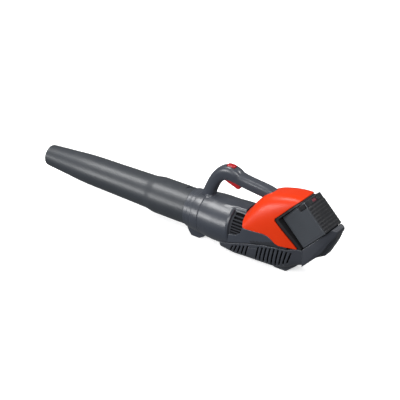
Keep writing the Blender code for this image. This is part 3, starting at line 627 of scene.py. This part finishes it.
def bodySurface(inset=0.0, start=30.0, end=286.0, step=rearBody["step"]):
    # superellipse rings, |y / half|^n + |z / reach|^n = 1, with points at even arc length in each
    # quarter; n is the station's squareness above the widest level and a fixed one below
    x = np.linspace(start, end, round((end - start) / step) + 1)
    top, half, middle, bottom, square = (throughStations(rearBody["stations"], k, x) for k in range(1, 6))
    t = np.linspace(0, 1, 260)
    a = (3 * t**2 - 2 * t**3) * math.pi / 2
    quarter = rearBody["quarter"]
    rings = np.zeros((len(x), 4, quarter, 3))
    rings[..., 0] = x[:, None, None]
    share = np.linspace(0, 1, quarter, endpoint=False)
    for row in range(len(x)):
        for upper in (True, False):
            power = 2 / (square[row] if upper else rearBody["lowerSquareness"])
            reach = top[row] - middle[row] - inset if upper else bottom[row] - middle[row] + inset
            y = (half[row] - inset) * np.cos(a)**power
            z = reach * np.sin(a)**power
            length = runLength(y, z)
            length /= length[-1]
            there, back = (np.stack([np.interp(at, length, y), middle[row] + np.interp(at, length, z)], 1)
                           for at in (share, 1 - share))
            rightSide, leftSide = (there, back) if upper else (back, there)
            rings[row, 0 if upper else 3, :, 1:] = rightSide
            rings[row, 1 if upper else 2, :, 1:] = leftSide * (-1, 1)
    return rings.reshape(-1, 3), gridTriangles(len(x), 4 * quarter, True), (len(x), 4 * quarter)


bodyPoints, bodyTriangles, bodyShape = bodySurface()
bodySide = bodyPoints[:, [0, 2]]


def alongSurface(value):
    # a distance drawn in side view, divided by its slope over the surface, is a distance on the surface
    grid, points = value.reshape(bodyShape), bodyPoints.reshape(*bodyShape, 3)
    slopes = []
    for axis in (0, 1):
        rise = np.gradient(grid, axis=axis)
        run = np.linalg.norm(np.gradient(points, axis=axis), axis=2)
        slopes.append(rise / np.maximum(run, 1e-3))
    return value / np.clip(np.hypot(*slopes), 0.35, 1.0).ravel()


def inBay(points, grow=0.0):
    # positive inside the tilted battery bay, whose inner corner is cut off at 45 degrees
    u, w = (points[:, 0] + points[:, 2]) / math.sqrt(2), (points[:, 0] - points[:, 2]) / math.sqrt(2)
    deep, side = u - rearBody["bayU"] + grow, w - rearBody["bayW"] + grow
    return np.minimum(np.minimum(deep, side), (deep + side - 5) / math.sqrt(2))


handle = {
    # centre line x, z, half height, half width
    "stations": (
        (-52, 50, 18, 15.5), (-44, 68, 17.5, 15.5), (-36, 88, 17, 15.5), (-26, 108, 17, 15.5),
        (-12, 127, 18, 16.5), (6, 141, 20.5, 18), (26, 146.5, 22.5, 18.5), (44, 144, 21.5, 18),
        (56, 139.5, 19, 17), (80, 135, 18.5, 16.5), (110, 131.5, 18.5, 16.5), (140, 128.5, 18.5, 16.5),
        (160, 125.5, 17.5, 16), (182, 119.5, 15, 15)),
    "columns": 104, "power": 0.75, "wall": 2.8, "fillet": 7.0,
    "screws": ((-31, 100), (76, 135), (118, 131)), "screwHole": 4.5,
    "cup": ((9.8, 1.9), (10.4, 4.1), (16.2, 4.1), (16.2, 5.1), (9.8, 5.1)),  # depth and radius
    # middle x, half length, half width and the level where the opening ends
    "triggerSlot": (34.5, 27.5, 8.3, 134.5), "buttonSlot": (28, 13.8, 8.4, 158),
}
case = {
    "profile": ((-45, 60.2), (-43.5, 61.2), (-20, 63.8), (0, 65), (52, 65), (58, 63.6), (60.5, 59.5),
                (108, 59.5)),
    "radius": 65.0, "seam": -45.0, "wall": 2.8, "segments": 220, "crestEnd": 95.5, "crestRise": 5.0,
    "vents": 7, "ventLow": 5.8, "ventPitch": 7.4, "ventMiddle": 83.0, "ventHalf": (17, 2.1),
}


def handleLine(count):
    # the centre line at even chord length: place, up direction, half height and half width
    table = np.asarray(handle["stations"], float)
    chord = runLength(table[:, 0], table[:, 1])
    stations = np.column_stack([chord, table])
    s = np.linspace(0, chord[-1], count)
    x, z, tall, wide = (throughStations(stations, k, s) for k in range(1, 5))
    along = unit(np.stack([np.gradient(x), np.gradient(z)], 1))
    return np.stack([x, z], 1), np.stack([-along[:, 1], along[:, 0]], 1), tall, wide


def caseRadius(x):
    return np.interp(x, *np.transpose(case["profile"]))


def handleSurface():
    # rings |y / wide|^n + |rise / tall|^n = 1 square to the centre line; near the fan case each
    # point moves outwards so that the foot flares into the case in a round fillet
    centre, up, tall, wide = handleLine(190)
    t = np.linspace(0, 2 * math.pi, 4000)
    y, rise = signedPower(np.cos(t), handle["power"]), signedPower(np.sin(t), handle["power"])
    length = runLength(y, rise)
    share = np.linspace(0, length[-1], handle["columns"], endpoint=False)
    y, rise = np.interp(share, length, y)[None, :], np.interp(share, length, rise)[None, :]

    def ringPoints(grow):
        high = rise * (tall[:, None] + grow)
        return np.stack([centre[:, :1] + up[:, :1] * high, y * (wide[:, None] + grow),
                         centre[:, 1:] + up[:, 1:] * high], 2)

    points = ringPoints(np.zeros((len(centre), 1)))
    above = np.hypot(points[..., 1], points[..., 2]) - caseRadius(points[..., 0])
    reach = handle["fillet"]
    flare = reach - np.sqrt(np.maximum(reach**2 - (reach - np.clip(above, 0, reach))**2, 0))
    flare *= easeStep(-52, -40, points[..., 0]) * (points[..., 0] < 60)
    return ringPoints(flare).reshape(-1, 3), gridTriangles(len(centre), handle["columns"], True)


def outsideHandle(points):
    # positive outside the handle: superellipse measure about the nearest place of the centre line
    centre, up, tall, wide = handleLine(120)
    flat = points[:, [0, 2]]
    near = np.argmin(((flat[:, None] - centre[None])**2).sum(2), axis=1)
    away = flat - centre[near]
    rise = (away * up[near]).sum(1)
    n = 2 / handle["power"]
    measure = (np.abs(points[:, 1]) / wide[near])**n + (np.abs(rise) / tall[near])**n
    beyond = away[:, 0] * up[near, 1] - away[:, 1] * up[near, 0]
    value = (measure**(1 / n) - 1) * np.minimum(tall, wide)[near]
    return np.where(near == len(centre) - 1, np.maximum(value, beyond), value)


def barrelSurface():
    # the turned fan case with its recessed vent band, denser where the side slots are cut; above the
    # slots it keeps its full radius and swells a little towards the cover
    x = np.concatenate([np.linspace(-45, -42, 4), np.arange(-39, 50, 3.0), np.linspace(50, 62, 13),
                        np.linspace(63.2, 107.2, 45)])[:, None]
    radius = caseRadius(x)
    crest = np.where(x < case["crestEnd"], case["radius"] + case["crestRise"] * easeStep(5, 92, x), radius)
    onTop = easeStep(0.885, 0.945, np.sin(fullTurn(case["segments"])))[None, :] * (x > -10)
    return aroundAxis(x, radius + onTop * np.maximum(crest - radius, 0), case["segments"])


def ventKeep(points):
    # positive outside the side vent slots
    keep = np.full(len(points), farAway)
    for k in range(case["vents"]):
        middle = (case["ventMiddle"], case["ventLow"] + case["ventPitch"] * k)
        keep = np.minimum(keep, boxDistance(points[:, [0, 2]] - middle, case["ventHalf"], 1.0))
    return keep


def housingHalf(side):
    # barrel, fairing and handle of one clamshell half, each cut at the middle seam
    seam = gap / 2 + 0.35
    points, triangles = barrelSurface()
    underHandle = outsideHandle(points) + 3.5
    keep = np.minimum(side * points[:, 1] - seam, ventKeep(points) - 0.3)
    keep = np.where(points[:, 0] < 50, np.minimum(keep, underHandle), keep)
    barrel = shell(*trimmed(points, triangles, keep), case["wall"], 0.35)
    outline = [*((x, z + gap) for x, z in rearBody["baseSeam"][1:]), rearBody["fairingTip"],
               *((x, z - gap) for x, z in rearBody["coverLower"][6::-1]), *rearBody["fairingFront"]]
    keep = alongSurface(outlineDistance(softened(outline, 5.0), bodySide)) - 0.9
    keep = np.minimum(keep, side * bodyPoints[:, 1] - 5)
    fairing = shell(*trimmed(bodyPoints, bodyTriangles, keep), rearBody["wall"], 0.9)
    points, triangles = handleSurface()
    x, y, z = points.T
    keep = side * y - seam
    keep = np.minimum(keep, np.maximum(x - case["seam"] - 0.4, np.hypot(y, z) - 62.0))
    for name, way in (("triggerSlot", 1), ("buttonSlot", -1)):
        middle, length, width, level = handle[name]
        slot = np.maximum(np.maximum(np.abs(x - middle) - length, np.abs(y) - width), way * (z - level))
        keep = np.minimum(keep, slot - 0.4)
    cups = []
    if side > 0:
        (depth, across, up), faces = (part.T for part in turned(softened(handle["cup"], 0.3, 2), 32))
        for sx, sz in handle["screws"]:
            hole = np.hypot(x - sx, z - sz) - handle["screwHole"]
            keep = np.minimum(keep, np.where(y > 0, hole, farAway))
            cups.append((np.stack([across + sx, depth - 0.2, up + sz], 1), faces.T[:, ::-1]))
    grip = shell(*trimmed(points, triangles, keep), handle["wall"], 0.35)
    return joined(barrel, fairing, grip, *cups)


def markVentBand(made):
    # the attribute is 1 on the recessed band behind the barrel's shoulder, where the slate finish paints
    # shade on it and roughens it
    places = np.empty(3 * len(made.data.vertices), np.float32)
    made.data.vertices.foreach_get("co", places)
    x, y, z = (places.reshape(-1, 3) / mm - axisOrigin).T
    band = (x > 59) & (np.hypot(y, z) < 60.4) & (z > -8)
    mattAndShade = made.data.attributes.new("mattAndShade", "FLOAT", "POINT")
    mattAndShade.data.foreach_set("value", band.astype(np.float32))


for name, stands, side in (("housingLeft", "housing_left", -1), ("housingRight", "housing_right", 1)):
    markVentBand(piece(name, housingHalf(side), "slate", "housing", [stands]))
print("housing halves made")


def coverShell():
    # body surface inside the cover's outline, outside the bay and clear of the handle's end
    outline = rearBody["coverFront"][::-1] + rearBody["coverLower"] + rearBody["coverClose"]
    keep = alongSurface(outlineDistance(outline, bodySide))
    keep = np.minimum(keep, alongSurface(-inBay(bodyPoints))) - 1.0
    keep = np.minimum(keep, outsideHandle(bodyPoints) - 1.3)
    return shell(*trimmed(bodyPoints, bodyTriangles, keep), rearBody["wall"], 1.0)


piece("rearCover", coverShell(), "orange", "housing", ["rear_cover"])

louvres = {
    "lean": 13.0, "thick": 5.1, "low": -56.0, "seamGap": 2.2, "wall": 4.0,
    "frontAt": (61, 73, 85, 97, 109), "rearAt": (143, 155, 167, 179, 191, 203, 215, 227, 239),
    "notches": ((122, -21.5), (131, -19.3), (140, -17.1)), "notchHigh": 4.0,
}


def louvreSlots():
    # leaning slots in two groups with three notches between; their upper ends follow the seam above
    # and the lower ends the belly
    slots = [(x, louvres["low"], -31 + 0.30 * (x - 61)) for x in louvres["frontAt"]]
    slots += [(x, louvres["low"] + max(0, x - 203) * 0.55, -8 + min(10, 0.2 * (x - 143)))
              for x in louvres["rearAt"]]
    slots += [(x, low, low + louvres["notchHigh"]) for x, low in louvres["notches"]]
    lean, thick = louvres["lean"], louvres["thick"]
    return [softened(((x, low), (x + thick, low), (x + lean + thick, high), (x + lean, high)), 1.4, 3)
            for x, low, high in slots]


def baseShell():
    # body surface below the seam, cut by the louvre slots
    outline = [*((x, z - louvres["seamGap"]) for x, z in rearBody["baseSeam"]), *rearBody["baseClose"]]
    keep = alongSurface(outlineDistance(outline, bodySide)) - 1.0
    for slot in louvreSlots():
        keep = np.minimum(keep, -outlineDistance(slot, bodySide) - 0.6)
    return shell(*trimmed(bodyPoints, bodyTriangles, keep), louvres["wall"], 0.7)


def louvreShadeSheet():
    # a dark sheet behind the louvres, painted shade that stands for the shadowed inside: a smaller body
    # surface, clear of the bay and the fan case
    points, triangles, _ = bodySurface(7.5, 66.0, 284.0, 4.0)
    keep = np.minimum(8 - points[:, 2], -inBay(points, 2.0) - 1.0)
    keep = np.minimum(keep, np.hypot(points[:, 1], points[:, 2]) - 60.5 + 40 * (points[:, 0] > 108))
    return shell(*trimmed(points, triangles, keep), 1.2, 0.4)


# painted shade: a dark sleeve behind the vent slots that stands for the shade inside the case, so the slots
# read black
sleeve = {"front": 62.5, "rear": 106.5, "radius": 55.6}
sleeveX = np.linspace(sleeve["front"], sleeve["rear"], 12)[:, None]
ventShadeSleeve = shell(*aroundAxis(sleeveX, 0 * sleeveX + sleeve["radius"], 96), 1.0, 0.3)
piece("ventShadeSleeve", ventShadeSleeve, "paintedShade", "housing", ())
piece("baseGuard", baseShell(), "guard", "housing", ["base_guard"])
piece("louvreShadeSheet", louvreShadeSheet(), "paintedShade", "housing", ())

tail = {
    "outline": ((284.6, -33.0), (312, -5), (338, 24), (356, 56), (368, 73), (375, 85), (374, 93),
                (366, 95), (362, 96.3), (284.6, 18.9)),
    "half": 43.4, "narrowFrom": 300.0, "narrowing": math.tan(math.radians(20)), "edge": 2.2,
    "keel": ((306, 0), (338, 17.5), (362, 17), (374, 0)),  # how far the middle hangs below the rims
}


def tailShape():
    # a rounded prism whose width falls off behind narrowFrom, with the turn eased over 12 mm; along
    # the middle its underside hangs down as a keel
    points, triangles, caps = roundedPrism(tail["outline"], tail["half"], tail["edge"], 2.5, slices=40)
    past = points[:, 0] - tail["narrowFrom"]
    eased = np.where(past > 12, past - 6, np.where(past > 0, past**2 / 24, 0))
    points[:, 1] *= (tail["half"] - tail["narrowing"] * eased) / tail["half"]
    x, y, z = points.T
    under, over = np.interp(x, *np.transpose(tail["outline"][:6])), x - 266.0
    low = np.clip((over - z) / np.maximum(over - under, 1), 0, 1)
    hang = np.interp(x, *np.transpose(tail["keel"])) * (1 - easeStep(12, 19, np.abs(y)))
    points[:, 2] = z - hang * low**2
    return points, triangles, caps


piece("tailGuard", tailShape(), "guard", "housing", ["tail_guard"])

feet = (
    # name, outline, half width, corner, finish, node
    ("frontFoot", ((-108, -52), (-104, -62), (-93, groundLevel), (-66, groundLevel), (-52, -70), (-40, -56),
                   (-56, -40), (-94, -40)), 21, 3.0, "slate", "front_foot"),
    ("rearFoot", ((164, -58), (184, groundLevel), (222, groundLevel), (256, -50), (250, -44), (170, -50)),
     24, 4.0, "guard", "rear_foot"),
)
for name, outline, half, corner, finish, node in feet:
    piece(name, roundedPrism(outline, half, 3.0, corner), finish, "housing", [node])
print("cover, base, tail and feet made")


trigger = {
    "outline": ((9.6, 133.5), (9.4, 121), (24, 115.5), (40, 110.5), (51, 106), (55.5, 107), (58.5, 112),
                (59, 121), (50, 129.5), (24, 131.5), (18, 134.5)),
    "half": 7.6, "edge": 2.2, "corner": 3.0,
}
triggerBlade = roundedPrism(trigger["outline"], trigger["half"], trigger["edge"], trigger["corner"])
piece("triggerBlade", triggerBlade, "red", "trigger", ["trigger"])

topButton = {
    "x": 28, "half": (13.2, 7.9), "power": 0.5,
    # share of the half sizes and level: the hollow, then the skirt; the dome follows
    "rings": ((0.4, 163.4), (0.72, 163.2), (0.74, 158.6), (0.9, 158.4), (0.99, 158.9), (1.0, 160.0)),
    "crown": ((0.5, 171.7), (0.2, 172.0)), "domeFrom": 167.4, "domeRise": 3.6, "domeTop": 0.72,
}


def buttonShape():
    # rounded-rectangle rings drawn in to a domed top, from a hollow that takes the spring
    a, t, top = fullTurn(64), np.linspace(0, math.pi / 2, 10), topButton["domeTop"]
    x, y = (half * signedPower(wave, topButton["power"])
            for half, wave in zip(topButton["half"], (np.cos(a), np.sin(a))))
    domeZ = topButton["domeFrom"] + topButton["domeRise"] * np.sin(t)
    dome = np.stack([top + (1 - top) * np.cos(t), domeZ], 1)
    grow, z = np.concatenate([topButton["rings"], dome, topButton["crown"]]).T[..., None]
    return lofted(np.stack([topButton["x"] + grow * x, grow * y, z + 0 * x], 2))


piece("topButton", buttonShape(), "red", "top_button", ["top_button"])


battery = {
    "front": 217.0, "top": 88.0, "bottom": 187.0, "half": 37.0, "panelEnd": 311.0, "capEdge": 105.0,
    "bevel": 3.2,
    "fieldMiddle": (263, -137.5), "fieldHalf": (41, 44.5), "beadAt": 308.4,
    "pocket": ((277.5, -82), (308.5, -82), (308.5, -104.5), (285, -104.5)),
    "end": ((311.3, -36), (313, -36.4), (320, -28), (320, 28), (313, 36.4), (311.3, 36)),
    "ribPitch": 9.0, "ribDepth": 0.9, "columnsAt": 12.5,
    "cap": ((311.3, -34.6, -105), (317.6, 34.6, -88.4)), "displayAt": (0, -97), "displayHalf": (12.4, 4.6),
    "latch": (283, 304.6, -102.6, -91.4), "latchDepth": (31.5, 38.2), "latchRibs": 3.6,
    "window": ((314.3, -11.6, -100.6), (315.6, 4.6, -93.4)),
    "chargeButton": ((315.0, 5.4, -100.6), (317.2, 11.6, -93.4)),
}


def caseShape():
    # a rounded block; both sides carry a raised bead by the rear edge, a shallow field frame and a
    # sunk pocket for the latch button, all as offsets of y
    low = (battery["front"], -battery["half"], -battery["bottom"])
    high = (battery["panelEnd"], battery["half"], -battery["top"])
    points, triangles = roundedBlock(low, high, battery["bevel"], 1.25)
    u, y, v = points.T
    flat = points[:, [0, 2]]
    frameLine = boxDistance(flat - battery["fieldMiddle"], battery["fieldHalf"], 5.0)
    frameLine = np.exp(-(frameLine / 1.1)**2) * 0.55
    bead = np.exp(-((u - battery["beadAt"]) / 1.2)**2) * 1.2 * easeStep(-102, -106, v)
    pocket = easeStep(1.2, -0.6, 0.3 - outlineDistance(battery["pocket"], flat))
    points[:, 1] = y + np.sign(y) * easeStep(30, 34.5, np.abs(y)) * (bead - frameLine - 4.5 * pocket)
    return points, triangles


def endShape():
    # the ribbed rear block: a chamfered outline lofted along v, with grooves pressed into its rear face
    outline = softened(battery["end"], 1.6, 4)
    closed = np.concatenate([outline, outline[:1]])
    along = runLength(closed[:, 0], closed[:, 1])
    share = np.linspace(0, along[-1], 180, endpoint=False)
    v = np.linspace(0.3 - battery["bottom"], -battery["capEdge"] - gap, 150)[:, None] + 0 * share[None, :]
    u, y = (np.interp(share, along, closed[:, k])[None, :] + 0 * v for k in range(2))
    edge = easeStep(v.min(), v.min() + 1.6, v) * easeStep(v.max(), v.max() - 1.6, v)
    waves = np.cos((v + battery["bottom"] - 4) * 2 * math.pi / battery["ribPitch"])
    columns = 1 - easeStep(1.2, 2.0, np.abs(np.abs(y) - battery["columnsAt"]))
    raised = np.maximum(easeStep(-0.15, 0.35, waves), columns)
    shrink = 1.5 * (1 - edge)
    u = u - easeStep(312.5, 314.0, u) * (battery["ribDepth"] * (1 - raised) + shrink)
    y = y - np.sign(y) * shrink * easeStep(20, 33, np.abs(y))
    return lofted(np.stack([u, y, v], 2)[::-1])


def capShape():
    # the latch cap: a chamfered block with a sunk field for the charge display
    points, triangles = roundedBlock(*battery["cap"], 1.4, 1.0)
    u, y, v = points.T
    outer = easeStep(313, 316, u)
    sunk = boxDistance(points[:, [1, 2]] - battery["displayAt"], battery["displayHalf"], 1.0)
    points[:, 0] = u - outer * (0.62 * np.maximum(np.abs(y) - 26, 0) + 3.6 * easeStep(0.5, -0.5, sunk))
    return points, triangles


def latchButton(side):
    # a ribbed press block in the case's side pocket
    uLow, uHigh, vLow, vHigh = battery["latch"]
    yLow, yHigh = sorted(side * depth for depth in battery["latchDepth"])
    points, triangles = roundedBlock((uLow, yLow, vLow), (uHigh, yHigh, vHigh), 1.0, 0.6)
    u, y, v = points.T
    ribs = easeStep(-0.2, 0.4, np.cos((u - uLow - 1) * 2 * math.pi / battery["latchRibs"]))
    points[:, 1] = y - side * easeStep(36.5, 37.6, np.abs(y)) * 0.9 * (1 - ribs)
    return points, triangles


chargeWindow = roundedBlock(*battery["window"], 0.4, 1.0)
chargeButton = roundedBlock(*battery["chargeButton"], 0.6, 1.0)
batteryPieces = (
    # name, shape, finish, body, the node it stands for, slot
    ("batteryCase", caseShape(), "batteryGrey", "battery", "battery_case", "battery_plastic"),
    ("batteryEnd", endShape(), "batteryBlack", "battery", "battery_end", "black_plastic"),
    ("batteryCap", capShape(), "batteryBlack", "battery", "battery_cap", "black_plastic"),
    ("latchButtonLeft", latchButton(-1), "black", "latch_left", "battery_button_left", "black_plastic"),
    ("latchButtonRight", latchButton(1), "black", "latch_right", "battery_button_right", "black_plastic"),
    ("chargeWindow", chargeWindow, "chargeLens", "battery", "charge_window", "cell_wrap"),
    ("chargeButton", chargeButton, "black", "charge_button", "charge_button", "black_plastic"),
)
for name, shape, finish, body, node, slot in batteryPieces:
    piece(name, shape, finish, body, [node], tilt=True)

shadeStrips = {
    # painted shade: dark strips that close the slits round the battery and stand for the shade in them: low
    # and high corner
    "upperShadeStrip": ((222, -30, -87.9), (304, 30, -86.9)),
    "lowerShadeStrip": ((222, -24, -188.6), (318, 24, -187.2)),
    "leftShadeStrip": ((213.8, -34, -186), (216.3, -31, -90)),
    "rightShadeStrip": ((213.8, 31, -186), (216.3, 34, -90)),
    "footShadeStrip": ((205.5, -34, -188), (216.3, 34, -185.3)),
}
for name, (low, high) in shadeStrips.items():
    piece(name, roundedBlock(low, high, 0.45, 6), "paintedShade", "housing", (), tilt=True)
print("battery made")


carried = {
    "aluminium": ("motor_can", "heat_sink"), "copper": ("motor_stator",),
    "steel": ("motor_rotor", "motor_shaft", "front_bearing", "rear_bearing", "trigger_pin", "button_spring",
              "trigger_spring", "handle_screw_1", "handle_screw_2", "handle_screw_3"),
    "nylon": ("fan_spinner", "fan"), "guard": ("guide_vanes",),
    "black": ("trigger_switch", "terminal_block", "bay_liner"),
    "boardGreen": ("controller_board", "battery_board"), "cellBlue": ("cell_pack",),
    "leadRed": ("switch_leads", "motor_leads", "battery_leads"),
}
for finish, names in carried.items():
    for name in names:
        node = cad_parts[name]
        node.data.materials.clear()
        node.data.materials.append(finishes[finish])


floorHalf = 4.0
floorMesh = bpy.data.meshes.new("floor")
floorMesh.from_pydata([(x * floorHalf, y * floorHalf, 0) for x, y in ((-1, -1), (1, -1), (1, 1), (-1, 1))],
                      [], [(0, 1, 2, 3)])
floor = placed("floor", floorMesh)
paper = bpy.data.materials.new("paper")
paper.use_nodes = True
feed(paper.node_tree, paper.node_tree.nodes["Principled BSDF"], {
    "Base Color": (0.93, 0.93, 0.93, 1), "Roughness": 0.9,
    "Emission Color": (1, 1, 1, 1), "Emission Strength": 0.62})
floorMesh.materials.append(paper)
floor.visible_diffuse = False  # the paper throws no light back up at the underside
floor.visible_glossy = False

world = bpy.data.worlds.new("studio")
world.use_nodes = True
feed(world.node_tree, world.node_tree.nodes["Background"], {"Color": (0.94, 0.97, 1.0, 1), "Strength": 0.2})
bpy.context.scene.world = world
bpy.context.scene.view_settings.view_transform = "Standard"


def aimed(made, place, target):
    # stands the object at place, its -z axis on the target and its y axis up
    made.location = place
    made.rotation_euler = (target - place).to_track_quat("-Z", "Y").to_euler()


lamps = (
    # name, place, watts, width, height
    ("keySoftbox", (-1.9, -0.8, 3.0), 76, 1.5, 0.9),
    ("frontSoftbox", (0.7, -3.0, 2.2), 78, 2.2, 1.6),
    ("topSoftbox", (1.4, 1.2, 2.8), 54, 1.6, 0.8),
    ("leftFill", (-2.2, -3.0, 0.5), 60, 1.6, 1.0),
)
for name, place, watts, width, height in lamps:
    light = bpy.data.lights.new(name, "AREA")
    light.shape, light.size, light.size_y, light.energy = "RECTANGLE", width, height, watts
    aimed(placed(name, light), Vector(place), Vector((0, 0, 0.08)))

cameraValues = {
    "azimuth": 36.75, "elevation": 29.1, "lens": 162.0, "distance": 4.865, "aim": (0.0543, -0.0187, 0.1196),
}
azimuth, elevation = (math.radians(cameraValues[key]) for key in ("azimuth", "elevation"))
away = Vector((math.sin(azimuth) * math.cos(elevation), -math.cos(azimuth) * math.cos(elevation),
               math.sin(elevation)))
aim = Vector(cameraValues["aim"])
cameraData = bpy.data.cameras.new("studioCamera")
cameraData.lens, cameraData.sensor_width = cameraValues["lens"], 36.0
camera = placed("studioCamera", cameraData)
aimed(camera, aim + away * cameraValues["distance"], aim)
bpy.context.scene.camera = camera
print("floor, lamps and camera placed")
